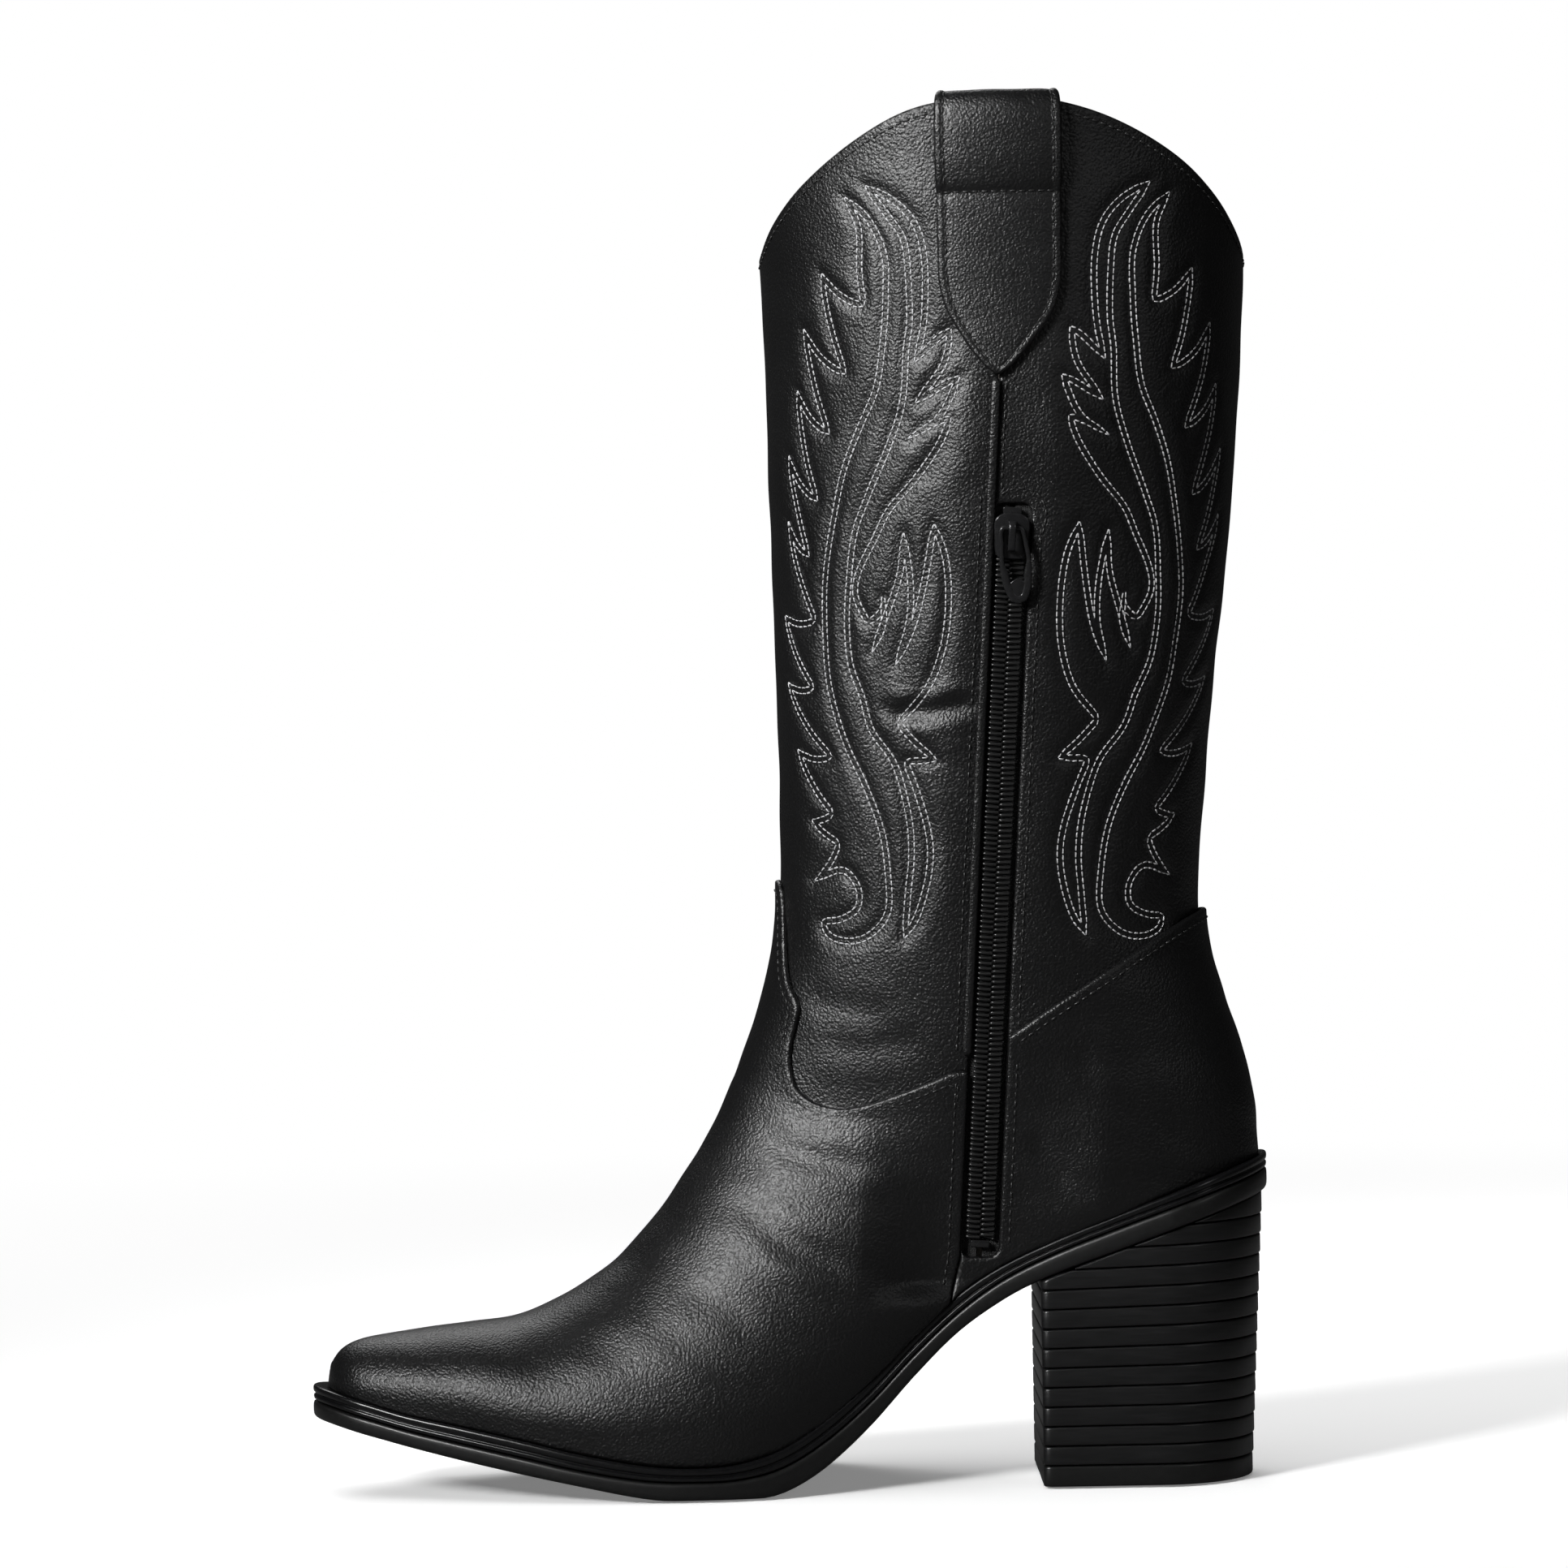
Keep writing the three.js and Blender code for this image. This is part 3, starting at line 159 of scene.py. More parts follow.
def spline(points, count=12):
    """Smooth curve through points (any dimension), evenly many samples between each pair."""
    p = np.asarray(points, float)
    ext = np.vstack([2 * p[0] - p[1], p, 2 * p[-1] - p[-2]])
    s = np.linspace(0, 1, count, endpoint=False)[:, None]
    return np.vstack([between_points(*ext[i:i + 4], s) for i in range(len(p) - 1)] + [p[-1:]])


def read_off(want, at, line):
    """The line's values at the wanted distances along it."""
    return np.stack([np.interp(want, at, column) for column in line.T], 1)


def resample(line, step):
    """The same polyline with even spacing near step."""
    at = totals(gaps(line))
    return read_off(np.linspace(0, at[-1], max(2, int(round(at[-1] / step)) + 1)), at, line)


def tread_height(x):
    return np.maximum(0, along(TREAD, x))


def cap(share):
    """A quarter circle from 0 to 1."""
    return np.sqrt(1 - (1 - np.clip(share, 0, 1)) ** 2)


def plan_ends(inset):
    return TOE_X + inset * TOE_INSET_SHARE, HEEL_END_X - inset * HEEL_INSET_SHARE


def plan_half(x, inset):
    """Half-width of the sole's outline, drawn in by inset."""
    toe, heel = plan_ends(inset)
    return (along(SOLE_HALF, x) - inset) * cap((x - toe) / TOE_ROUND) * cap((heel - x) / HEEL_ROUND)


def zip_x(z):
    return ZIP_TOP[0] + (ZIP_BOTTOM[0] - ZIP_TOP[0]) * ((ZIP_TOP[1] - z) / (ZIP_TOP[1] - ZIP_BOTTOM[1]))


def zip_y(z):
    return ZIP_TOP_Y + (ZIP_TOP[1] - z) * ZIP_LEAN


def seam_x(z):
    return zip_x(z) - SLOT_HALF


# ---- the base surface
SECTIONS[HEEL_CORNER:, BACK_Z] = along(WELT_TOP, SECTIONS[HEEL_CORNER:, BACK_X]) - SEAT_DROP


def ring_shape(t, side):
    """Everything a ring needs at t for that side: section values, half-width and end angle."""
    t = np.clip(t, 0, LAST_RING)
    i = np.minimum(LAST_RING - 1, np.floor(t).astype(int))
    s = between_points(*(SECTIONS[np.clip(i + k, 0, LAST_RING)] for k in (-1, 0, 1, 2)), (t - i)[:, None])
    seat = t >= HEEL_CORNER
    s[seat, BACK_Z] = along(WELT_TOP, s[seat, BACK_X]) - SEAT_DROP
    seat_half = np.where(seat, plan_half(s[:, BACK_X], BASE_INSET), 0)
    centre = np.where(seat, along(SOLE_CENTRE, s[:, BACK_X]), s[:, RIDGE])
    foot = np.where(seat_half > 0, np.maximum(0, seat_half + side * (centre - s[:, RIDGE])), 0)
    half = np.where(side < 0, s[:, HALF_MEDIAL], s[:, HALF_LATERAL]) - side * s[:, RIDGE]
    half = np.maximum(half, foot + 0.4)
    return s, half, np.arccos(np.clip((foot / half) ** (s[:, SQUARE] / 2), 0, 1))


def flatten_for_zip(x, y, z):
    beyond = np.maximum(0, np.abs(x - zip_x(z)) - ZIP_FLAT)
    target = zip_y(z) + beyond ** 2 / (2 * ZIP_BLEND_RADIUS)
    near = 1 - smooth(beyond / (ZIP_BLEND - ZIP_FLAT))
    within = smooth((z - 49) / 9) * (1 - smooth((z - 275) / 50))
    return y + near * within * (target - y)


def ring_point(t, angle, side):
    s, half, end = ring_shape(t, side)
    dx, dz = s[:, BACK_X] - s[:, FRONT_X], s[:, BACK_Z] - s[:, FRONT_Z]
    length = np.hypot(dx, dz)
    ahead = s[:, WIDEST] * length
    power = 2 / s[:, SQUARE]
    front = angle < 0
    sine = np.sin(np.clip(angle, -math.pi / 2, math.pi / 2))
    run = np.where(front, ahead * sine, (length - ahead) / np.sin(end) ** power * np.abs(sine) ** power)
    cosine = np.maximum(0, np.cos(angle))
    share = (ahead + run) / np.maximum(length, 1e-9)
    x, z = s[:, FRONT_X] + dx * share, s[:, FRONT_Z] + dz * share
    y = s[:, RIDGE] + side * half * np.where(front, cosine, cosine ** power)
    return table(x, np.where(side < 0, flatten_for_zip(x, y, z), y), z)


def ring_normal(t, angle, side):
    a = ring_point(np.minimum(LAST_RING, t + 0.02), angle, side)
    b = ring_point(np.maximum(0, t - 0.02), angle, side)
    c = ring_point(t, np.minimum(math.pi / 2, angle + 0.02), side)
    d = ring_point(t, np.maximum(-math.pi / 2, angle - 0.02), side)
    n = np.cross(a - b, c - d) * -np.asarray(side)[:, None]
    ridge = (np.abs(angle + math.pi / 2) < 1e-6) | (angle > math.pi / 2 - 1e-4)
    n[ridge, 1] = 0
    return n / np.maximum(1e-12, np.linalg.norm(n, axis=1))[:, None]


def unroll(tw):
    """(ring, place round it) to (t, angle, side). Place 0 is the front ridge; it grows to 1 at the back, or the
    edge of the foot, round the medial side, falls to -1 round the lateral side, and from 1 to 2 comes forward
    again along the lateral side."""
    t, w = tw.T
    side = np.where((w >= 0) & (w <= 1), MEDIAL, LATERAL)
    share = np.where(w < 0, -w, np.where(w > 1, 2 - w, w))
    return t, np.minimum(share * math.pi - math.pi / 2, ring_shape(t, side)[2]), side


def surface(tw):
    return ring_point(*unroll(tw))


def surface_frame(tw):
    where = unroll(tw)
    return ring_point(*where), ring_normal(*where), where[2]


def edges_of(tris):
    """Every edge of a triangle list once, for each triangle the numbers of its three edges, and their uses."""
    pairs = np.sort(np.concatenate([tris[:, [0, 1]], tris[:, [1, 2]], tris[:, [2, 0]]]), axis=1)
    unique, number, count = np.unique(pairs, axis=0, return_inverse=True, return_counts=True)
    return unique, number.reshape(3, -1).T, count


class Sheet:
    """A triangulated patch of the base surface, kept as (ring, place) points."""

    def __init__(self, t0, t1, w0, w1, step, w_at):
        t, w = np.linspace(t0, t1, 900), np.linspace(w0, w1, 500)
        down = np.max([gaps(surface(table(t, np.full_like(t, k)))) for k in (0, 0.5, -0.5, 0.999)], 0)
        across = gaps(surface(table(np.full_like(w, w_at), w)))
        ts, ws = (np.interp(np.linspace(0, at[-1], int(at[-1] / step) + 2), at, place)
                  for at, place in ((totals(down), t), (totals(across), w)))
        tt, ww = np.meshgrid(ts, ws, indexing="ij")
        self.tw = table(tt.ravel(), ww.ravel())
        rows, cols = len(ts), len(ws)
        a = (np.arange(rows - 1)[:, None] * cols + np.arange(cols - 1)[None]).ravel()
        self.tris = np.concatenate([table(a, a + cols, a + cols + 1), table(a, a + cols + 1, a + 1)])
        self.pinned = np.zeros(len(self.tw), bool)

    def cut(self, value_of, level=0.0, drop=True):
        """Split the triangles where value_of passes level, and drop those below it."""
        value = value_of(self.tw) - level
        edge, numbers, _ = edges_of(self.tris)
        hit = edge[value[edge].prod(1) < 0]
        share = value[hit[:, 0]] / (value[hit[:, 0]] - value[hit[:, 1]])
        spot = self.tw[hit[:, 0]] + share[:, None] * (self.tw[hit[:, 1]] - self.tw[hit[:, 0]])
        # A corner that lies almost on the line moves on to it, so that no thin triangles are left.
        ends, nearness = hit.T.ravel(), np.concatenate([share, 1 - share])
        chosen = np.flatnonzero((nearness < 0.2) & ~self.pinned[ends])
        chosen = chosen[np.argsort(-nearness[chosen])]
        self.tw[ends[chosen]] = np.concatenate([spot, spot])[chosen]
        value[ends[chosen]] = 0
        self.pinned[ends[chosen]] = True
        crossing = np.flatnonzero(value[edge].prod(1) < 0)
        a, b = self.tw[edge[crossing, 0]], self.tw[edge[crossing, 1]]
        low, high = np.zeros(len(crossing)), np.ones(len(crossing))
        at_low, at_high = value[edge[crossing]].T
        for _ in range(2):
            share = low + (high - low) * at_low / (at_low - at_high)
            middle = value_of(a + share[:, None] * (b - a)) - level
            same = middle * at_low > 0
            low, at_low = np.where(same, share, low), np.where(same, middle, at_low)
            high, at_high = np.where(same, high, share), np.where(same, at_high, middle)
        share = low + (high - low) * at_low / np.where(at_low == at_high, 1, at_low - at_high)
        fresh = np.full(len(edge), -1)
        fresh[crossing] = len(self.tw) + np.arange(len(crossing))
        self.tw = np.vstack([self.tw, a + share[:, None] * (b - a)])
        self.pinned = np.concatenate([self.pinned, np.ones(len(crossing), bool)])
        sign = np.sign(value[self.tris]).astype(int)
        up, down = (sign > 0).sum(1), (sign < 0).sum(1)
        inside, outside = [self.tris[(down == 0) & (up > 0)]], [self.tris[up == 0]]

        def turned(rows, first):
            """Those triangles, turned so that the chosen corner leads, with the new points on their edges."""
            order = (first[:, None] + np.arange(3)) % 3
            return (np.take_along_axis(self.tris[rows], order, 1).T,
                    fresh[np.take_along_axis(numbers[rows], order, 1)].T)

        rows = np.flatnonzero((up == 1) & (down == 1))
        first = np.argmax(sign[rows] == 0, 1)
        (a, b, c), (_, m, _) = turned(rows, first)
        first_up = np.take_along_axis(sign[rows], ((first + 1) % 3)[:, None], 1)[:, 0] > 0
        left, right = table(a, b, m), table(a, m, c)
        inside += [left[first_up], right[~first_up]]
        outside += [left[~first_up], right[first_up]]
        for lone, tip_side, base_side in ((1, inside, outside), (-1, outside, inside)):
            rows = np.flatnonzero((up + down == 3) & ((up if lone > 0 else down) == 1))
            (a, b, c), (ab, _, ca) = turned(rows, np.argmax(sign[rows] == lone, 1))
            tip_side.append(table(a, ab, ca))
            base_side += [table(ab, b, c), table(ab, c, ca)]
        used, index = np.unique(np.concatenate(inside if drop else inside + outside), return_inverse=True)
        self.tw, self.pinned, self.tris = self.tw[used], self.pinned[used], index.reshape(-1, 3)

    def contours(self, value):
        """Polylines of (ring, place) points where the value passes 0."""
        value = np.where(value == 0, 1e-9, value)
        edge, numbers, _ = edges_of(self.tris)
        va, vb = value[edge].T
        crossing = va * vb < 0
        share = np.where(crossing, va / np.where(va == vb, 1, va - vb), 0)
        spots = self.tw[edge[:, 0]] + share[:, None] * (self.tw[edge[:, 1]] - self.tw[edge[:, 0]])
        links = {}
        for row in numbers[crossing[numbers].sum(1) == 2]:
            a, b = [int(k) for k in row if crossing[k]]
            links.setdefault(a, []).append(b)
            links.setdefault(b, []).append(a)
        while links:
            here = next((k for k, v in links.items() if len(v) == 1), next(iter(links)))
            line = [here]
            while links.get(here):
                after = links[here].pop()
                links[after].remove(here)
                if not links[here]:
                    del links[here]
                line.append(after)
                here = after
            links.pop(here, None)
            yield spots[line]


# ---- outlines in the side view
def signed_distance(xz, polygon):
    """Distance from an outline in the side view, positive inside it."""
    poly = np.asarray(polygon, float)
    px, pz = xz.T
    crossings = np.zeros(len(xz), int)
    best = np.full(len(xz), np.inf)
    for (ax, az), (bx, bz) in zip(poly, np.roll(poly, -1, 0)):
        ex, ez = bx - ax, bz - az
        length2 = ex * ex + ez * ez
        if length2 == 0:
            continue
        if ez != 0:
            crossings += ((az > pz) != (bz > pz)) & (px < ax + (pz - az) * ex / ez)
        s = np.clip(((px - ax) * ex + (pz - az) * ez) / length2, 0, 1)
        best = np.minimum(best, (px - ax - s * ex) ** 2 + (pz - az - s * ez) ** 2)
    return np.sqrt(best) * np.where(crossings % 2 == 1, 1, -1)


FAR, SKY, AHEAD = 140, 420, -280
SEAM_HEIGHTS = np.array([60, 110, 160, 215, 270, SKY])


def seam_line(z0, z1, shift=0.0):
    low, high = min(z0, z1), max(z0, z1)
    inner = SEAM_HEIGHTS[(SEAM_HEIGHTS > low + 1) & (SEAM_HEIGHTS < high - 1)]
    heights = np.concatenate([[low], inner, [high]])
    line = table(seam_x(heights) + shift, heights)
    return (line if z0 < z1 else line[::-1]).tolist()


TOPLINE = spline([
    [-103.5, 333], [-101.2, 340.5], [-97, 348.6], [-89, 358], [-77, 367], [-62, 374.6], [-48, 377.4],
    [-36, 377.8], [-24, 377.2], [-10, 374], [3, 368.8], [15, 361.8], [24, 353.6], [30.5, 345],
    [34.2, 338.5], [37, 331]])
VAMP_EDGE = spline([
    [-99.6, 168.4], [-97.2, 164.5], [-96.5, 147], [-95.7, 139], [-93.2, 132], [-95.4, 122.5], [-95.8, 115.5],
    [-93.6, 109.2], [-86.5, 105.1], [-78, 105.2], [-66, 109], [-51, 115]])
COUNTER_EDGE = spline([[-37.4, 123.6], [-26.4, 131], [-15.3, 138], [-1.9, 146.4], [11.5, 154.2], [20, 158.2]])
PANEL_LAP = 9
TOE_PUFF_X = -178
VAMP_BACK = [[-57.5, 0], [-54, 52]]

below_topline = [[AHEAD, -10], [FAR, -10], [FAR, 331], *TOPLINE[::-1].tolist(), [AHEAD, 333]]
vamp_outline = [[AHEAD, 0], *VAMP_BACK, *seam_line(64, 115, -GAP / 2), *VAMP_EDGE[::-1][1:].tolist(),
                [-108, 171], [AHEAD, 171]]
counter_outline = [[-57.5 + GAP, 0], [FAR, 0], [FAR, 180], [40, 168], *COUNTER_EDGE[::-1].tolist(),
                   *seam_line(119, 64, GAP / 2), [-54 + GAP, 52]]
front_outline = [
    [AHEAD, 128], *([x, z - PANEL_LAP] for x, z in ((-97, 110), (-88, 105), (-76, 105), (-49, 115))),
    *seam_line(115, SKY, -GAP / 2), [AHEAD, SKY]]
back_outline = [*seam_line(SKY, 119 - PANEL_LAP, GAP / 2),
                *([x, z - PANEL_LAP] for x, z in ((-37, 122), (-2, 145), (20, 157))), [FAR, 160], [FAR, SKY]]
LINING_SPLIT = [[AHEAD, 112], [-97, 98], [-58, 96], [-27, 100], [10, 118], [FAR, 130]]
lining_above = [*([x, z + GAP] for x, z in LINING_SPLIT), [FAR, SKY], [AHEAD, SKY]]
lining_below = [*LINING_SPLIT, [FAR, 0], [AHEAD, 0]]
backing_outline = [
    [TOE_PUFF_X + GAP, 0], *VAMP_BACK, *seam_line(64, 115 - PANEL_LAP - 2, -GAP / 2),
    *([x, z - PANEL_LAP - GAP] for x, z in ((-76, 105), (-88, 105), (-97, 110))), [TOE_PUFF_X + GAP, 112]]
toe_outline = [[AHEAD, 0], [TOE_PUFF_X, 0], [TOE_PUFF_X, 90], [AHEAD, 90]]
stiffener_outline = [[-27, 0], [-27, 96], [-14, 112], [4, 124], [22, 131], [FAR, 134], [FAR, 0]]


def rounded(x0, x1, z0, z1, radius, steps=6):
    points = []
    for cx, cz, start in ((x1 - radius, z0 + radius, -90), (x1 - radius, z1 - radius, 0),
                          (x0 + radius, z1 - radius, 90), (x0 + radius, z0 + radius, 180)):
        for angle in np.radians(np.linspace(start, start + 90, steps)):
            points.append([cx + radius * math.cos(angle), cz + radius * math.sin(angle)])
    return np.array(points)


slot = rounded(-SLOT_HALF, SLOT_HALF, SLOT_BOTTOM_Z, SLOT_TOP_Z, 2.6, 7)
slot[:, 0] += zip_x(slot[:, 1])


def ahead_of_seam(shift):
    return [[AHEAD, 0], *([x + shift, z] for x, z in VAMP_BACK), *seam_line(64, SKY, shift), [AHEAD, SKY]]


def zip_strip(x0, x1, z0, z1):
    return [[zip_x(z0) + x0, z0], [zip_x(z0) + x1, z0], [zip_x(z1) + x1, z1], [zip_x(z1) + x0, z1]]


def is_medial(tw):
    return (tw[:, 1] >= 0) & (tw[:, 1] <= 1)


def in_outline(polygon, medial_only=False, outside=False):
    """An edge rule: distance inside (or outside) an outline, in the side view."""
    def rule(tw):
        d = signed_distance(surface(tw)[:, [0, 2]], polygon) * (-1 if outside else 1)
        return np.where(is_medial(tw), d, 99.0) if medial_only else d
    return rule


def above_welt(rise):
    def rule(tw):
        x, _, z = surface(tw).T
        slope = along(WELT_TOP, x + 0.5) - along(WELT_TOP, x - 0.5)
        return (z - along(WELT_TOP, x) - rise) / np.sqrt(1 + slope ** 2)
    return rule


def edge_distance(rule, tw):
    """The rule's value as a distance along the surface, true near the edge."""
    p, base = surface(tw), rule(tw)
    dt, dw = [0.02, 0], [0, 0.001]
    du, dv = rule(tw + dt) - base, rule(tw + dw) - base
    pu, pv = surface(tw + dt) - p, surface(tw + dw) - p
    a, b, c = (pu * pu).sum(1), (pu * pv).sum(1), (pv * pv).sum(1)
    slope2 = (c * du * du - 2 * b * du * dv + a * dv * dv) / np.maximum(a * c - b * b, 1e-12)
    return base / np.clip(np.sqrt(slope2), 0.25, 4)


def tree_of(spots):
    tree = kdtree.KDTree(len(spots))
    for i, spot in enumerate(spots):
        tree.insert(spot, i)
    tree.balance()
    return tree


def near_points(points, spots, reach):
    """Distance from each point to the nearest of the spots, up to reach."""
    tree = tree_of(spots)
    low, high = spots.min(0) - reach, spots.max(0) + reach
    out = np.full(len(points), float(reach))
    for i in np.flatnonzero(((points > low) & (points < high)).all(1)):
        out[i] = min(reach, tree.find(points[i])[2])
    return out


def on_surface(x, z, side):
    """Points and normals of the base surface seen at (x, z) from one side, and that side for each."""
    ts = np.repeat(np.linspace(0, LAST_RING, 136), 60)
    angles = np.tile(np.radians(np.linspace(-86, 86, 60)), 136)
    ok = angles < ring_shape(ts, np.full(len(ts), side))[2]
    ts, angles = ts[ok], angles[ok]
    grid = ring_point(ts, angles, np.full(len(ts), side))
    best = [np.argmin((grid[:, 0] - at_x) ** 2 + (grid[:, 2] - at_z) ** 2) for at_x, at_z in zip(x, z)]
    t, angle, sides = ts[best], angles[best], np.full(len(x), side)
    for _ in range(12):
        p = ring_point(t, angle, sides)
        pt = (ring_point(t + 0.01, angle, sides) - p) / 0.01
        pa = (ring_point(t, angle + 0.005, sides) - p) / 0.005
        ex, ez = x - p[:, 0], z - p[:, 2]
        det = pt[:, 0] * pa[:, 2] - pt[:, 2] * pa[:, 0]
        det = np.where(np.abs(det) < 1e-6, 1e-6, det)
        t = np.clip(t + np.clip((ex * pa[:, 2] - ez * pa[:, 0]) / det, -1, 1), 0.001, LAST_RING)
        angle = np.clip(angle + np.clip((pt[:, 0] * ez - pt[:, 2] * ex) / det, -0.3, 0.3), -1.55, 1.55)
    return ring_point(t, angle, sides), ring_normal(t, angle, sides), sides


# ---- materials
def feed(tree, node, inputs):
    """Give a node's inputs values, or link them to the outputs of other nodes."""
    for name, value in inputs.items():
        if isinstance(value, bpy.types.NodeSocket):
            tree.links.new(value, node.inputs[name])
        else:
            node.inputs[name].default_value = value


def add(tree, kind, inputs=None, **settings):
    node = tree.nodes.new("ShaderNode" + kind)
    for name, value in settings.items():
        setattr(node, name, value)
    feed(tree, node, inputs or {})
    return node


def shader(name, stretch=(1, 1, 1)):
    """A new material, and its object coordinates in metres, stretched."""
    material = bpy.data.materials.new(name)
    material.use_nodes = True
    tree = material.node_tree
    coords = add(tree, "TexCoord").outputs["Object"]
    return material, tree, add(tree, "Mapping", {"Vector": coords, "Scale": stretch}).outputs["Vector"]


def noise_of(tree, where, scale, detail, rough=0.5):
    inputs = {"Vector": where, "Scale": scale, "Detail": detail, "Roughness": rough}
    return add(tree, "TexNoise", inputs).outputs["Fac"]


def number_of(tree, value, low, high):
    return add(tree, "MapRange", {"Value": value, "To Min": low, "To Max": high}).outputs["Result"]


def colour_of(tree, value, dark, light):
    node = add(tree, "ValToRGB", {"Fac": value})
    for element, colour, position in zip(node.color_ramp.elements, (dark, light), (0.3, 0.7)):
        element.color = (*colour, 1)
        element.position = position
    return node.outputs["Color"]


def bump_of(tree, height, strength, distance, after=None):
    node = add(tree, "Bump", {"Height": height, "Strength": strength, "Distance": distance})
    if after is not None:
        feed(tree, node, {"Normal": after})
    return node.outputs["Normal"]


def leather(name, dark, light, rough, grain, depth):
    """Grained leather: shallow cells of about 1/grain mm with finer creases between them."""
    material, tree, where = shader(name)
    wobble = add(tree, "TexNoise", {"Vector": where, "Scale": 600 * grain}).outputs["Color"]
    shift = add(tree, "VectorMath", {0: wobble, 1: (0.0005, 0.0005, 0.0005), 2: where},
                operation="MULTIPLY_ADD").outputs["Vector"]
    cells = add(tree, "TexVoronoi", {"Vector": shift, "Scale": 1000 * grain, "Smoothness": 0.5},
                feature="SMOOTH_F1")
    middle = noise_of(tree, where, 800 * grain, 4, 0.6)
    normal = bump_of(tree, cells.outputs["Distance"], 0.9 * depth, -0.00024)
    normal = bump_of(tree, middle, 0.8 * depth, 0.00026, normal)
    normal = bump_of(tree, noise_of(tree, where, 2600, 2), 0.5 * depth, 0.00016, normal)
    feed(tree, tree.nodes["Principled BSDF"], {
        "Base Color": colour_of(tree, noise_of(tree, where, 28, 4), dark, light),
        "Roughness": number_of(tree, middle, rough - 0.06, rough + 0.1),
        "Normal": normal, "Specular IOR Level": 0.5})
    return material


def cloth(name, dark, light, rough, pitch):
    """Woven cloth: two crossed sets of threads, pitch in mm."""
    material, tree, where = shader(name)
    waves = [
        add(tree, "TexWave", {"Vector": where, "Scale": 2000 / pitch / 6.2832, "Distortion": 0.4},
            bands_direction=axis).outputs["Fac"] for axis in ("X", "Z")]
    both = add(tree, "Math", {0: waves[0], 1: waves[1]}, operation="MULTIPLY")
    broad = noise_of(tree, where, 160, 5)
    normal = bump_of(tree, broad, 0.3, 0.0002, bump_of(tree, both.outputs[0], 0.6, 0.0002))
    feed(tree, tree.nodes["Principled BSDF"], {
        "Base Color": colour_of(tree, broad, dark, light), "Roughness": rough, "Normal": normal})
    return material


def plain(name, dark, light, rough, spread=0.08, metal=0.0, scale=300, bump=0.00005, stretch=(1, 1, 1)):
    """A noise-mottled finish for moulded, sawn or cast parts."""
    material, tree, where = shader(name, stretch)
    mottle = noise_of(tree, where, scale, 5, 0.6)
    feed(tree, tree.nodes["Principled BSDF"], {
        "Base Color": colour_of(tree, mottle, dark, light),
        "Roughness": number_of(tree, mottle, rough - spread, rough + spread),
        "Normal": bump_of(tree, mottle, 0.3, bump), "Metallic": metal})
    return material


BLACK = ((0.0018, 0.0018, 0.0019), (0.0034, 0.0034, 0.0036))
UPPER = leather("grained black leather", *BLACK, 0.36, 1.35, 0.75)
FOOT = leather("smooth black leather", *BLACK, 0.35, 1.4, 0.6)
TRIM = leather("trim leather", (0.0024, 0.0024, 0.0025), (0.004, 0.004, 0.0042), 0.36, 1.45, 0.65)
LINING_CLOTH = cloth("lining cloth", (0.05, 0.045, 0.04), (0.075, 0.068, 0.06), 0.85, 0.8)
TAPE_CLOTH = cloth("zip tape", (0.006, 0.006, 0.006), (0.011, 0.011, 0.011), 0.75, 0.6)
STIFF = plain("stiffener board", (0.12, 0.1, 0.08), (0.17, 0.14, 0.11), 0.8)
BOARD = plain("insole board", (0.2, 0.13, 0.07), (0.28, 0.19, 0.11), 0.85)
CORK = plain("cork", (0.2, 0.12, 0.06), (0.36, 0.24, 0.13), 0.9, scale=500, bump=0.0004)
STEEL = plain("spring steel", (0.4, 0.41, 0.42), (0.5, 0.51, 0.52), 0.32, metal=1.0, stretch=(1, 8, 8))
RUBBER = plain("moulded rubber", (0.0025, 0.0025, 0.0028), (0.0045, 0.0045, 0.005), 0.24, 0.05, scale=900)
TREAD_RUBBER = plain("tread rubber", (0.004, 0.004, 0.004), (0.007, 0.007, 0.007), 0.36, 0.06, scale=700)
STACK = plain("stacked heel", (0.0035, 0.0035, 0.0037), (0.008, 0.008, 0.0084), 0.36, 0.07,
              scale=260, stretch=(0.5, 0.5, 6), bump=0.00012)
COIL_NYLON = plain("zip coil", (0.009, 0.009, 0.009), (0.013, 0.013, 0.013), 0.3, 0.05, scale=1500)
ENAMEL = plain("black enamel", (0.02, 0.02, 0.021), (0.03, 0.03, 0.031), 0.2, 0.04, metal=0.6, scale=900)
GREY_THREAD = plain("grey thread", (0.36, 0.36, 0.37), (0.56, 0.56, 0.57), 0.55, scale=3000)
BLACK_THREAD = plain("black thread", (0.012, 0.012, 0.012), (0.02, 0.02, 0.02), 0.42, scale=3000)


# ---- meshes
def piece(name, body_shape, material, slot_name, replaces=(), body="boot", sharp=None):
    """A closed mesh from points in mm and triangles, turned so that its faces point out."""
    p, tris = np.asarray(body_shape[0], float), np.asarray(body_shape[1])
    a, b, c = p[tris.T]
    if (a * np.cross(b, c)).sum() < 0:
        tris = tris[:, ::-1]
    mesh = bpy.data.meshes.new(name)
    mesh.vertices.add(len(p))
    mesh.vertices.foreach_set("co", (p * MM).ravel())
    mesh.loops.add(len(tris) * 3)
    mesh.loops.foreach_set("vertex_index", tris.ravel())
    mesh.polygons.add(len(tris))
    mesh.polygons.foreach_set("loop_start", np.arange(len(tris)) * 3)
    mesh.polygons.foreach_set("use_smooth", np.full(len(tris), True))
    mesh.update(calc_edges=True)
    mesh.validate()
    if sharp is not None:
        mesh.set_sharp_from_angle(angle=math.radians(sharp))
    obj = bpy.data.objects.new(name, mesh)
    bpy.context.scene.collection.objects.link(obj)
    mesh.materials.append(material)
    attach(obj, body)
    if replaces:
        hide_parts(*replaces)


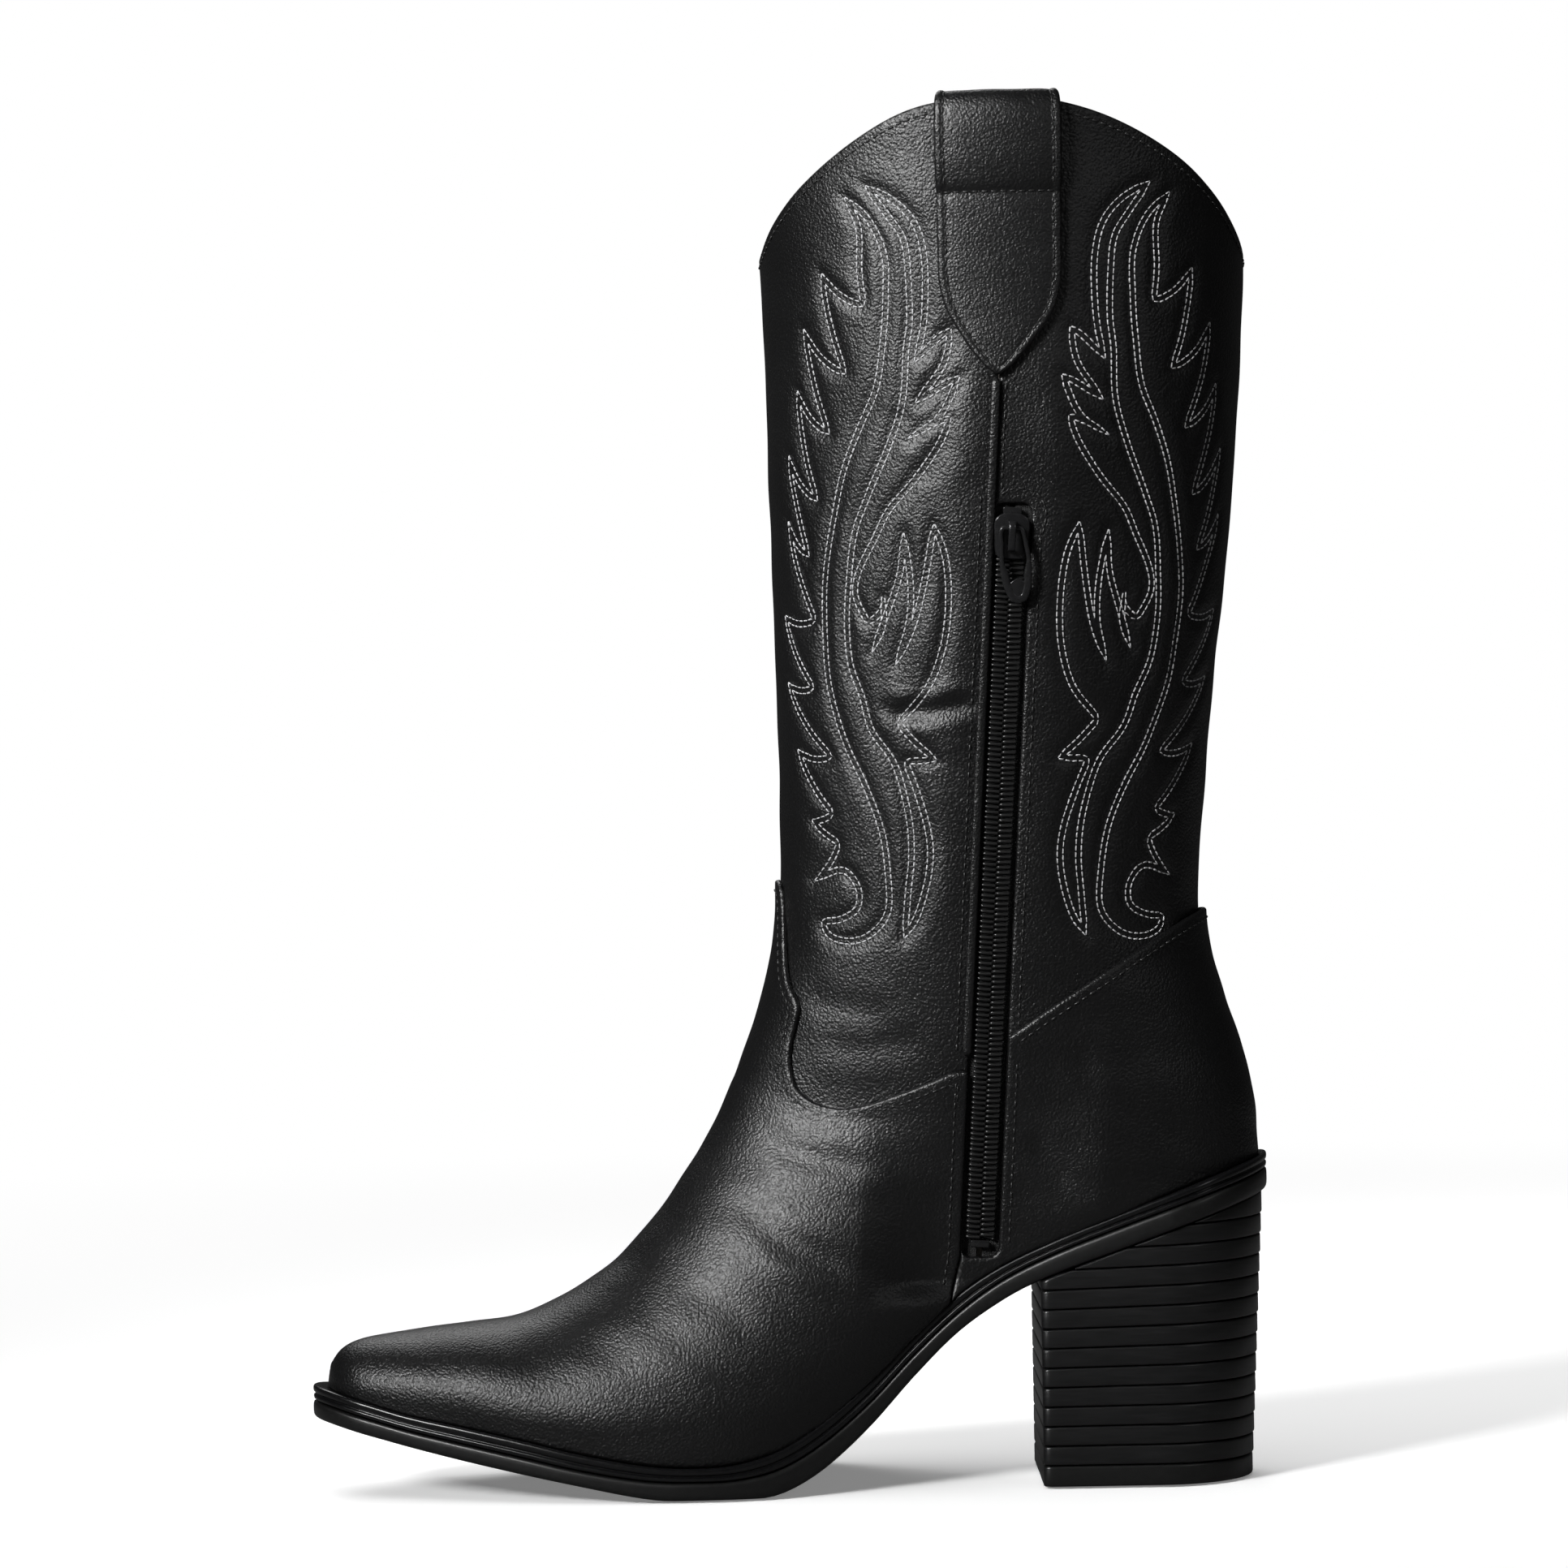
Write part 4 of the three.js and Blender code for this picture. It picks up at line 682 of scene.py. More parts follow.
def quads(a, b, c, d):
    return np.concatenate([np.stack([a, b, c], -1).reshape(-1, 3), np.stack([a, c, d], -1).reshape(-1, 3)])


def tube(rings, closed=False, mirror=None):
    """Points and triangles of a body through rings (R, M, 3); each ring is closed on itself. An end is a fan,
    or joins each point of its ring to its mirror point: point 0 to itself (mirror 1) or to the last (mirror 0)."""
    rings = np.asarray(rings, float)
    count, size = rings.shape[:2]
    index = np.arange(count * size).reshape(count, size)
    beside = np.roll(index, -1, 1)
    if closed:
        tris = [quads(index, beside, np.roll(beside, -1, 0), np.roll(index, -1, 0))]
    else:
        tris = [quads(index[:-1], beside[:-1], beside[1:], index[1:])]
        for ring, turn in ((index[0], -1), (index[-1], 1)):
            if mirror is None:
                face = table(np.full(size - 2, ring[0]), ring[1:-1], ring[2:])
            else:
                back, k = np.roll(ring[::-1], mirror), np.arange(size // 2)
                face = quads(ring[k], ring[k + 1], back[k + 1], back[k])
                face = face[(face != np.roll(face, 1, 1)).all(1)]
            tris.append(face[:, ::turn])
    return rings.reshape(-1, 3), np.concatenate(tris)


def joined(parts):
    starts = totals([len(p) for p, _ in parts])
    return np.concatenate([p for p, _ in parts]), np.concatenate([t + k for (_, t), k in zip(parts, starts)])


def swept(path, width_dir, up_dir, outline, taper=None):
    """Outline points (across, up) carried along a path whose frame is given at every point."""
    scale = (np.ones(len(path)) if taper is None else taper)[:, None, None]
    return tube(path[:, None] + width_dir[:, None] * outline[None, :, :1] * scale
                + up_dir[:, None] * outline[None, :, 1:] * scale)


def tangents(path, closed=False):
    return unit(np.roll(path, -1, 0) - np.roll(path, 1, 0) if closed else np.gradient(path, axis=0))


def rounder(value, power):
    return np.sign(value) * np.abs(value) ** power


def ellipse(half_width, half_height, sides, power=1.0):
    a = 2 * math.pi * np.arange(sides) / sides
    return table(half_width * rounder(np.cos(a), power), half_height * rounder(np.sin(a), power))


# ---- stitching
class Stitching:
    """Collects single stitches, each a small thread lying in the leather."""

    SIDES = 5
    # Along the stitch, its thickness and how far it stands out, as a share of the radius.
    SHAPE = ((0.0, 0.45, -0.5), (0.16, 1.0, 0.05), (0.84, 1.0, 0.05), (1.0, 0.45, -0.5))

    def __init__(self, radius, length, pitch):
        self.radius, self.length, self.pitch = radius, length, pitch
        self.rows = []

    def row(self, points, normals):
        """A row of stitches along a line of points already at the leather's surface."""
        line = resample(np.hstack([points, normals]), 0.25)
        at = totals(gaps(line[:, :3]))
        count = int((at[-1] + 0.3) // self.pitch)
        if count < 1:
            return
        pitch = at[-1] / count
        start = np.arange(count) * pitch + 0.5 * (pitch - self.length)
        self.rows.append(np.hstack([
            read_off(start, at, line[:, :3]), read_off(start + self.length, at, line[:, :3]),
            unit(read_off(start + self.length / 2, at, line[:, 3:]))]))

    def mesh(self):
        a, b, n = np.split(np.concatenate(self.rows), 3, 1)
        t = unit(b - a)
        across = unit(np.cross(n, t))
        up = np.cross(t, across)
        count = len(a)
        angle = (2 * math.pi * (np.arange(self.SIDES) + 0.25) / self.SIDES)[:, None]
        wobble = 1 + 0.12 * RNG.standard_normal(count)
        rings = []
        for share, size, lift in self.SHAPE:
            centre = a + (b - a) * share + up * (self.radius * lift)
            r = (self.radius * size * wobble)[:, None, None]
            ring = across[:, None] * np.cos(angle) + up[:, None] * 0.85 * np.sin(angle)
            rings.append(centre[:, None] + r * ring)
        index = np.arange(count * 4 * self.SIDES).reshape(count, 4, self.SIDES)
        beside = np.roll(index, -1, 2)
        tris = [quads(index[:, :-1], beside[:, :-1], beside[:, 1:], index[:, 1:])]
        for k in range(1, self.SIDES - 1):
            tris.append(index[:, 0, [0, k + 1, k]])
            tris.append(index[:, 3, [0, k, k + 1]])
        return np.stack(rings, 1).reshape(-1, 3), np.concatenate(tris)


grey = Stitching(0.2, 1.42, 1.8)
black = Stitching(0.26, 1.7, 2.5)


# ---- embroidery
# In (degrees round from the side, height). Each list is one smooth run; runs that share an end meet in a point.
STEMS = [
    [(35, 355.5), (27, 350.5), (22, 344), (20, 335), (20, 324), (21, 314.5), (23, 307)],
    [(35, 355.5), (29, 347), (25, 340), (24, 330), (24, 318.5), (25, 310.5), (26, 297), (30, 284.5),
     (36, 271.5), (40, 262), (42, 250), (43, 238.5), (42, 226.5), (38, 217), (35, 208), (28, 198.5), (24, 185), (23, 173.5),
     (24, 163), (25, 151)],
    [(41, 353), (34, 346), (30, 336), (30, 324.5), (31, 313), (33, 301), (38, 290.5), (43, 279.5), (46, 270),
     (49, 258), (51, 246.5), (51, 234.5), (50, 222.5), (47, 212.5), (43, 203), (37, 192.5), (32, 180.5),
     (30, 168.5), (30, 158.5), (35, 152.5), (42, 150.5), (50, 152), (54, 156)],
    [(54, 156), (46, 156.5), (40, 159.5), (40, 165.5), (46, 170), (58, 167)],
    [(41, 353), (37, 344.5), (37, 332.5), (36, 323)],
    [(23, 307), (18, 312.5), (14, 316)],
    [(14, 316), (16, 306), (23, 296)],
    [(23, 296), (17, 300), (12, 303)],
    [(12, 303), (17, 292), (25, 286.5)],
    [(25, 286.5), (19, 290), (14, 292)],
    [(14, 292), (17, 284.5), (23, 275.5), (30, 267.5), (34, 260), (39, 251), (40, 244.5), (36, 237)],
    [(36, 237), (32, 240.5), (32, 244.5)],
    [(18, 263.5), (15, 254), (14, 242.5), (15, 230.5), (19, 219), (27, 210)],
    [(27, 210), (21.5, 204), (16, 199.5)],
    [(16, 199.5), (25, 199.5)],
    [(25, 199.5), (21, 189.5), (18, 178.5), (18, 169), (21, 158), (25, 151)],
    [(18, 263.5), (20, 250), (23, 236.5), (28, 225.5)],
    [(28, 225.5), (24.5, 236), (24, 247), (26, 261.5)],
    [(26, 261.5), (27, 250), (31, 238.5), (35, 229)],
    [(35, 229), (31.5, 237), (32, 244.5)]]
# The flames, from valley to tip and back, and the share of its length by which each side bows.
FLAMES = [
    (36, 323), (49, 333), (42, 305), (57, 318.5), (48, 289), (61, 302), (53, 271), (66, 284.5), (57, 256),
    (68, 266.5), (55, 238.5), (72, 240.5), (56, 220), (71, 222), (49, 201), (66, 203.5), (49, 185.5), (59, 184),
    (47, 177.5), (58, 167)]
BOW_TO_TIP, BOW_TO_VALLEY = -0.10, 0.04
ROW_APART = 0.8  # each run is a double row, this far either side of its line
QUILT_DEPTH, QUILT_PUFF = 0.42, 0.34
MM_PER_DEGREE = 0.95


def bowed(a, b, bow):
    """A shallow arc from a to b, in (degrees, height)."""
    a, b = np.array(a, float), np.array(b, float)
    flat = (b - a) * [MM_PER_DEGREE, 1]
    side = np.array([-flat[1] / MM_PER_DEGREE, flat[0]])
    return np.array([a + (b - a) * s + side * bow * 4 * s * (1 - s) for s in np.linspace(0, 1, 7)])


def ring_at_height(angle, z, side):
    t = np.interp(-z, -SECTIONS[:12, FRONT_Z], np.arange(12))
    for _ in range(6):
        here = ring_point(t, angle, side)[:, 2]
        slope = (ring_point(t + 0.01, angle, side)[:, 2] - here) / 0.01
        t = np.clip(t + np.clip((z - here) / slope, -0.5, 0.5), 0, 12)
    return t


def double_row(p, across, neighbours):
    """Both rows of a run. At an end shared with another run the outer row closes in to the point, and the inner
    row stops where it meets the other run."""
    at = totals(gaps(p))
    offsets = {way: np.full(len(p), ROW_APART) for way in (-1, 1)}
    kept = {way: np.ones(len(p), bool) for way in (-1, 1)}
    for other, own_end, other_end in neighbours:
        away = at[-1] - at if own_end else at
        mine = p[::-1] if own_end else p
        theirs = other[::-1] if other_end else other
        ahead = mine[min(len(mine) - 1, 8)] - mine[0]
        toward = theirs[min(len(theirs) - 1, 8)] - mine[0]
        cosine = np.dot(ahead, toward) / (np.linalg.norm(ahead) * np.linalg.norm(toward))
        half_angle = 0.5 * math.acos(np.clip(cosine, -0.999, 0.999))
        inner = 1 if np.dot(across[-1 if own_end else 0], toward) > 0 else -1
        reach = np.clip(1.4 * ROW_APART / math.tan(half_angle), 0.8, 4.5)
        offsets[-inner] = offsets[-inner] * np.clip(away / reach, 0, 1)
        row = p + across * (inner * ROW_APART)
        gap = np.linalg.norm(row[:, None] - other[None], axis=2).min(1)
        meeting = (gap < 0.96 * ROW_APART) & (away < 14)
        kept[inner] &= away > away[meeting].max(initial=0)
    for way in (-1, 1):
        yield p + across * (way * offsets[way])[:, None], kept[way]


def motif_rows():
    """Every row of the embroidery as points and normals of the base surface."""
    drawn = [spline(run) for run in STEMS]
    for i in range(len(FLAMES) - 1):
        drawn.append(bowed(*FLAMES[i:i + 2], BOW_TO_VALLEY if i % 2 else BOW_TO_TIP))
    for side in (MEDIAL, LATERAL):
        for facing in (-1, 1):
            lines = []
            for run in drawn:
                angle, sides = np.radians(run[:, 0]) * facing, np.full(len(run), side)
                where = ring_at_height(angle, run[:, 1], sides), angle, sides
                line = resample(np.hstack([ring_point(*where), ring_normal(*where)]), 0.3)
                lines.append((line[:, :3], unit(line[:, 3:])))
            for k, (p, n) in enumerate(lines):
                neighbours = [
                    (lines[j][0], own, theirs)
                    for own in (0, 1) for j in range(len(drawn)) for theirs in (0, 1)
                    if j != k and np.allclose(drawn[k][-own], drawn[j][-theirs])]
                for row, kept in double_row(p, unit(np.cross(n, tangents(p))), neighbours):
                    if kept.sum() > 4:
                        yield row[kept], n[kept], side


embroidery = list(motif_rows())
quilt_spots = np.concatenate([resample(p, 0.6) for p, _, _ in embroidery])


# ---- the relief of the leather
# Folds in the side view: from (x, z) to (x, z), depth and half-width in mm, and the side they are on.
FOLDS = [
    (-70, 214, -45, 213, 0.9, 2.2, MEDIAL), (-66, 207, -46, 203, -0.35, 4.0, MEDIAL),
    (-92, 137, -70, 128, 0.35, 3.5, MEDIAL), (-88, 124, -60, 121, 0.35, 3.5, MEDIAL),
    (-63, 290, -52, 300, 0.35, 3.0, MEDIAL), (-60, 276, -48, 284, 0.3, 3.0, MEDIAL),
    (-72, 216, -44, 219, 0.7, 2.4, LATERAL), (-20, 205, 4, 209, 0.5, 3.0, LATERAL),
    (-90, 134, -64, 126, 0.4, 3.5, LATERAL), (-30, 176, 6, 183, 0.4, 3.5, LATERAL)]
FOOT_FOLDS = [
    (-104, 96, -74, 86, 0.35, 3.0, MEDIAL), (-112, 80, -84, 62, 0.35, 3.5, MEDIAL),
    (-104, 70, -72, 58, 0.3, 3.0, MEDIAL), (-130, 66, -108, 44, 0.3, 4.0, MEDIAL),
    (-30, 98, -22, 82, 0.3, 2.6, MEDIAL), (-18, 120, -2, 96, 0.3, 3.0, MEDIAL),
    (-6, 118, 8, 92, 0.3, 3.5, MEDIAL),
    (-104, 96, -74, 86, 0.35, 3.0, LATERAL), (-112, 80, -84, 62, 0.35, 3.5, LATERAL),
    (-128, 66, -104, 44, 0.35, 4.0, LATERAL), (-20, 118, -4, 94, 0.3, 3.0, LATERAL)]


def folds(p, side, strokes):
    out = np.zeros(len(p))
    for x0, z0, x1, z1, depth, width, on in strokes:
        along_x, along_z = x1 - x0, z1 - z0
        length = math.hypot(along_x, along_z)
        s = ((p[:, 0] - x0) * along_x + (p[:, 2] - z0) * along_z) / length ** 2
        off = ((p[:, 0] - x0) * -along_z + (p[:, 2] - z0) * along_x) / length
        off = off + 1.2 * np.sin(s * 5)
        fade = smooth(s * 3 + 0.35) * smooth((1 - s) * 3 + 0.35) * (side == on)
        shoulders = 0.45 * np.exp(-(np.abs(off) - 2.2 * width) ** 2 / width ** 2)
        out -= depth * fade * (np.exp(-(off / width) ** 2) - shoulders)
    return out


WAVES = RNG.standard_normal((14, 3))
PHASES = RNG.uniform(0, 6.28, 14)


def undulation(p, length, stretch=(1, 1, 1)):
    """A smooth random field of about unit size, with features length mm apart."""
    out = np.zeros(len(p))
    for wave, phase in zip(WAVES, PHASES):
        out += np.sin((p * stretch) @ wave * (2.4 / length) + phase)
    return out / math.sqrt(7)


def drape(p, side):
    """The loose leather of the shaft: folds and soft waves."""
    return folds(p, side, FOLDS) + 0.16 * undulation(p, 22) + 0.22 * undulation(p[:, [2, 0, 1]], 55)


def shaft_relief(p, side):
    d = near_points(p, quilt_spots, 14)
    puff = QUILT_PUFF * (1 - np.exp(-(d / 3.0) ** 2)) * np.exp(-(d / 8.5) ** 2)
    return puff - QUILT_DEPTH * np.exp(-(d / 1.25) ** 2) + drape(p, side)


def foot_relief(p, side):
    return (folds(p, side, FOOT_FOLDS) + 0.10 * undulation(p, 16, (1.0, 0.6, 1.4))
            + 0.16 * undulation(p[:, [2, 0, 1]], 45))


# ---- panels of leather and lining
def toe_frame(tw):
    """The base surface, with its blunt front end closed by one further ring."""
    p, n, side = surface_frame(tw)
    turn = np.clip(tw[:, 0] - LAST_RING, 0, 1) * math.pi / 2
    ridge = SECTIONS[LAST_RING, RIDGE]
    p[:, 1] = ridge + (p[:, 1] - ridge) * np.cos(turn)
    low, high = SECTIONS[LAST_RING, [BACK_Z, FRONT_Z]]
    share = np.clip((p[:, 2] - low) / (high - low), 0, 1) ** 2
    p[:, 0] -= 0.8 * np.sin(turn) * (1 - share)
    ahead = unit(table(np.full(len(p), -1.0), np.zeros(len(p)), 0.75 * share))
    return p, unit(n * np.cos(turn)[:, None] + ahead * np.sin(turn)[:, None]), side


def layer(name, sheet, rules, offsets, material, slot_name, node, radius=0.9, drop=0.0, relief=None):
    """Cut a sheet by its edge rules and make it a closed body between two offsets. An edge with a drop is
    rounded over the radius."""
    def distance(tw, rule):
        near = np.abs(rule(tw)) < 3 * radius
        out = np.full(len(tw), 3.0 * radius)
        if near.any():
            out[near] = edge_distance(rule, tw[near])
        return out

    for rule in rules:
        sheet.cut(rule)
    for rule in rules if drop else ():
        for share in (0.12, 0.42, 1.0):
            sheet.cut(lambda tw, rule=rule: distance(tw, rule), radius * share, drop=False)
    tw = sheet.tw
    p, n, side = toe_frame(tw)
    rise = relief(p, side) if relief else np.zeros(len(tw))
    low, high = offsets[0] + rise, offsets[1] + rise
    if drop:
        high = high + np.min([-drop * (1 - cap(distance(tw, rule) / radius)) for rule in rules], 0)
    # The sheet's two sides meet at the tip of the toe.
    tip = np.flatnonzero(tw[:, 0] > LAST_RING + 0.999)
    target = np.arange(len(tw))
    if len(tip):
        _, first, same = np.unique(np.round(p[tip] * 1000), axis=0, return_index=True, return_inverse=True)
        target[tip] = tip[first][same.ravel()]
    tris, total = target[sheet.tris], len(tw)
    _, numbers, count = edges_of(tris)
    owner = np.empty(len(count), int)
    owner[numbers.T.ravel()] = np.arange(numbers.size)
    a, b = np.concatenate([tris[:, [0, 1]], tris[:, [1, 2]], tris[:, [2, 0]]])[owner[count == 1]].T
    walls = table(b, a, a + total, b, a + total, b + total).reshape(-1, 3)
    points = np.concatenate([p + n * high[:, None], p + n * low[:, None]])
    used, index = np.unique(np.concatenate([tris, tris[:, ::-1] + total, walls]), return_inverse=True)
    piece(name, (points[used], index.reshape(-1, 3)), material, slot_name, [node])


ROW_IN = 2.7
# What a row of stitches lies on: its height above the base surface, and the relief.
ON_SHAFT, ON_FOOT = (0.12, shaft_relief), (FOOT_LEATHER[1] + 0.1, foot_relief)


def seam_row(sheet_args, rules, which, cover, keep):
    """A row of black stitches a given distance inside one edge of a panel."""
    sheet = Sheet(*sheet_args)
    value = rules[which](sheet.tw)
    spots = np.concatenate([resample(surface(line), 0.5) for line in sheet.contours(value)])
    p = surface(sheet.tw)
    distance = near_points(p, spots, 8) * np.sign(value)
    ok = np.min([rule(sheet.tw) for k, rule in enumerate(rules) if k != which], 0) > 2.4
    lookup = tree_of(p)
    for line in sheet.contours(distance - ROW_IN):
        q, n, side = surface_frame(line)
        good = np.array([ok[lookup.find(k)[1]] for k in q]) & keep(q)
        q = q + n * (cover[0] + cover[1](q, side))[:, None]
        starts = np.flatnonzero(np.diff(np.concatenate([[False], good, [False]]).astype(int)))
        for start, stop in starts.reshape(-1, 2):
            if stop - start > 4:
                black.row(q[start:stop], n[start:stop])


FINE, COARSE = 1.15, 3.4
slot_rule = in_outline(slot, True, True)
lining_slot_rule = in_outline(zip_strip(-TAPE_HALF - GAP, TAPE_HALF + GAP, 60, 273), True, True)
topline_rule, on_welt, above_gap = in_outline(below_topline), above_welt(0.15), above_welt(GAP)

FRONT_SHEET, BACK_SHEET = (0, 14, -0.60, 0.60), (0, 10.7, 0.40, 1.60)
VAMP_SHEET, COUNTER_SHEET = (4.6, LAST_RING + 1, -1, 1), (4.9, 17.6, 0.38, 1.62)
front_rules = [in_outline(front_outline), topline_rule, slot_rule]
back_rules = [in_outline(back_outline), topline_rule, slot_rule]
vamp_rules = [in_outline(vamp_outline), on_welt, slot_rule]
counter_rules = [in_outline(counter_outline), on_welt, slot_rule]
SHAFT_LOOK = (SHAFT_LEATHER, UPPER, 0.8, shaft_relief)
FOOT_LOOK = (FOOT_LEATHER, FOOT, 0.9, foot_relief)
for name, node, args, w_at, rules, (offsets, material, drop, relief) in (
        ("shaft_front", "shaft_front_panel", FRONT_SHEET, 3, front_rules, SHAFT_LOOK),
        ("shaft_back", "shaft_back_panel", BACK_SHEET, 3, back_rules, SHAFT_LOOK),
        ("vamp", "vamp", VAMP_SHEET, 15, vamp_rules, FOOT_LOOK),
        ("counter", "heel_counter", COUNTER_SHEET, 9, counter_rules, FOOT_LOOK)):
    layer(name + "_leather", Sheet(*args, FINE, w_at), rules, offsets, material, "upper_leather", node,
          drop=drop, relief=relief)

linings_above, linings_below = in_outline(lining_above), in_outline(lining_below)
ahead, behind = in_outline(ahead_of_seam(-GAP / 2)), in_outline(ahead_of_seam(GAP / 2), outside=True)
for name, args, rules in (
        ("shaft_lining_front", FRONT_SHEET, [linings_above, ahead, topline_rule, lining_slot_rule]),
        ("shaft_lining_back", BACK_SHEET, [linings_above, behind, topline_rule, lining_slot_rule]),
        ("vamp_lining", (9, LAST_RING + 1, -1, 1), [linings_below, ahead, above_gap, lining_slot_rule]),
        ("heel_lining", (6, 17.6, 0.38, 1.62), [linings_below, behind, above_gap, lining_slot_rule])):
    layer(name, Sheet(*args, COARSE, 6), rules, LINING, LINING_CLOTH, "lining_cloth", name)
for name, node, args, outline, more_rules, material, slot_name in (
        ("vamp_backing_cloth", "vamp_backing", (9, 24, -1, 1), backing_outline, [slot_rule],
         LINING_CLOTH, "lining_cloth"),
        ("toe_puff_shell", "toe_puff", (20, LAST_RING + 1, -1, 1), toe_outline, [], STIFF, "stiffener_board"),
        ("heel_stiffener_shell", "heel_stiffener", (7, 17.6, 0.5, 1.5), stiffener_outline, [],
         STIFF, "stiffener_board")):
    rules = [in_outline(outline), above_gap, *more_rules]
    layer(name, Sheet(*args, COARSE, 12), rules, SHAFT_LEATHER, material, slot_name, node)
for name, x0, x1 in (("zip_tape_front", -TAPE_HALF, -TAPE_SPLIT), ("zip_tape_back", TAPE_SPLIT, TAPE_HALF)):
    layer(name + "_cloth", Sheet(2.2, 17, 0.34, 0.75, 1.7, 6),
          [in_outline(zip_strip(x0, x1, 60.6, 272.4), True), is_medial], ZIP_TAPE, TAPE_CLOTH, "zip_tape",
          name)
layer("zip_guard_cloth", Sheet(1.6, 16.5, 0.32, 0.8, 2.4, 6), [in_outline(zip_strip(-16, 16, 66, 290), True)],
      ZIP_GUARD, LINING_CLOTH, "lining_cloth", "zip_guard")

# ---- stitch rows
STRAP_X, STRAP_HALF, STRAP_THICK = -36.4, 16.4, 1.6
for points, normals, side in embroidery:
    sink = 0.16 - QUILT_DEPTH + drape(points, np.full(len(points), side))
    grey.row(points + normals * sink[:, None], normals)


def clear_of_strap(q):
    """False under the pull straps."""
    return (np.abs(q[:, 0] - STRAP_X) > 17.0) | (q[:, 2] < 300)


seam_row((*FRONT_SHEET, 2.0, 3), front_rules, 1, ON_SHAFT, clear_of_strap)
seam_row((*BACK_SHEET, 2.0, 3), back_rules, 1, ON_SHAFT, clear_of_strap)
seam_row((4.6, 15, -0.75, 0.75, 2.0, 9), vamp_rules, 0, ON_FOOT, lambda q: q[:, 2] > 104)
seam_row((4.9, 11, 0.38, 1.62, 2.0, 9), counter_rules, 0, ON_FOOT, lambda q: q[:, 2] > 118)


def side_row(x, z, side, cover):
    """A row of stitches along a line drawn in the side view."""
    q, n, sides = on_surface(x, z, side)
    black.row(q + n * (cover[0] + cover[1](q, sides))[:, None], n)


def vamp_back_x(z):
    return np.interp(z, [52, 64, 112], [-56.5, seam_x(64) - 3.4, seam_x(112) - 3.4])


ZIP_EDGE = SLOT_HALF + ROW_IN
for z0, z1, line_x, shift, side, cover in (
        (120, 271, seam_x, -3.5, MEDIAL, ON_SHAFT), (272, 301, seam_x, 2.0, MEDIAL, ON_SHAFT),
        (55, 112, vamp_back_x, 0, MEDIAL, ON_FOOT), (126, 262, zip_x, ZIP_EDGE, MEDIAL, ON_SHAFT),
        (67, 117, zip_x, ZIP_EDGE, MEDIAL, ON_FOOT),
        (129, 301, seam_x, -3.2, LATERAL, ON_SHAFT), (66, 114, seam_x, -3.2, LATERAL, ON_FOOT),
        (129, 301, seam_x, 3.2, LATERAL, ON_SHAFT), (66, 114, seam_x, 3.2, LATERAL, ON_FOOT)):
    z = np.linspace(z0, z1, int((z1 - z0) / 2) + 2)
    side_row(line_x(z) + shift, z, side, cover)
# The row that curves round the top of the zip.
arch = spline([(seam_x(262) - 1.2, 264), (-38.6, 269.5), (-33.6, 272.4), (-28.2, 271.6), (-25.2, 267.5),
               (-25.4, 262.5), (-27.4, 257.5)])
side_row(*arch.T, MEDIAL, ON_SHAFT)

# ---- piping along the side seams
for name, side, z0, x0, x1 in (("side_welt_medial", MEDIAL, 119, -1.9, 0.5),
                               ("side_welt_lateral", LATERAL, 126, -1.2, 1.2)):
    z = np.linspace(z0, 302, 150)
    path, normal, _ = on_surface(seam_x(z) + (x0 + x1) / 2, z, side)
    across = unit(np.cross(normal, tangents(path)))
    taper = np.sqrt(np.clip(np.minimum(z - z0 + 0.3, 302.3 - z) / 1.2, 0.05, 1))
    piping = swept(path + normal * 0.85, across, normal, ellipse((x1 - x0) / 2, 0.55, 12, 0.8), taper)
    piece(name + "_piping", piping, TRIM, "upper_leather", [name])

# ---- pull straps
SEAM_Z = 352.0
# The strap's path: height, and the offset of its middle from the base surface.
STRAP_PATH = [
    (303, 1.25), (309, 1.2), (316, 1.2), (324, 1.2), (332, 1.2), (341, 1.25), (348, 1.35), (351.2, 1.15),
    (352, 0.95), (353, 1.5), (355.5, 2.3), (360, 2.9), (365, 3.2), (370.5, 3.15), (375, 2.6), (377.8, 1.2),
    (378.9, -0.6), (379, -2.2), (377.9, -4.0), (375, -5.3), (370, -5.6), (364, -5.3), (357, -4.7), (353, -4.1),
    (351, -4.0)]
SHIELD_LEFT = [(303, -1.6), (305.5, -4.6), (311, -8.8), (320, -14.0), (325, -15.6), (331, -16.4), (420, -16.4)]
SHIELD_RIGHT = [(303, -0.6), (305.2, 2.6), (311.4, 8.0), (319.6, 13.8), (325, 15.6), (331, 16.4), (420, 16.4)]
COLUMNS_IN = np.array([0, 0.1, 0.3, 0.65, 1.1, 1.7, 2.3, 2.9])
path = resample(spline(STRAP_PATH, 14), 0.9)
height, top = path[:, 0], np.argmax(path[:, 0])
going_up = np.arange(len(path)) < top


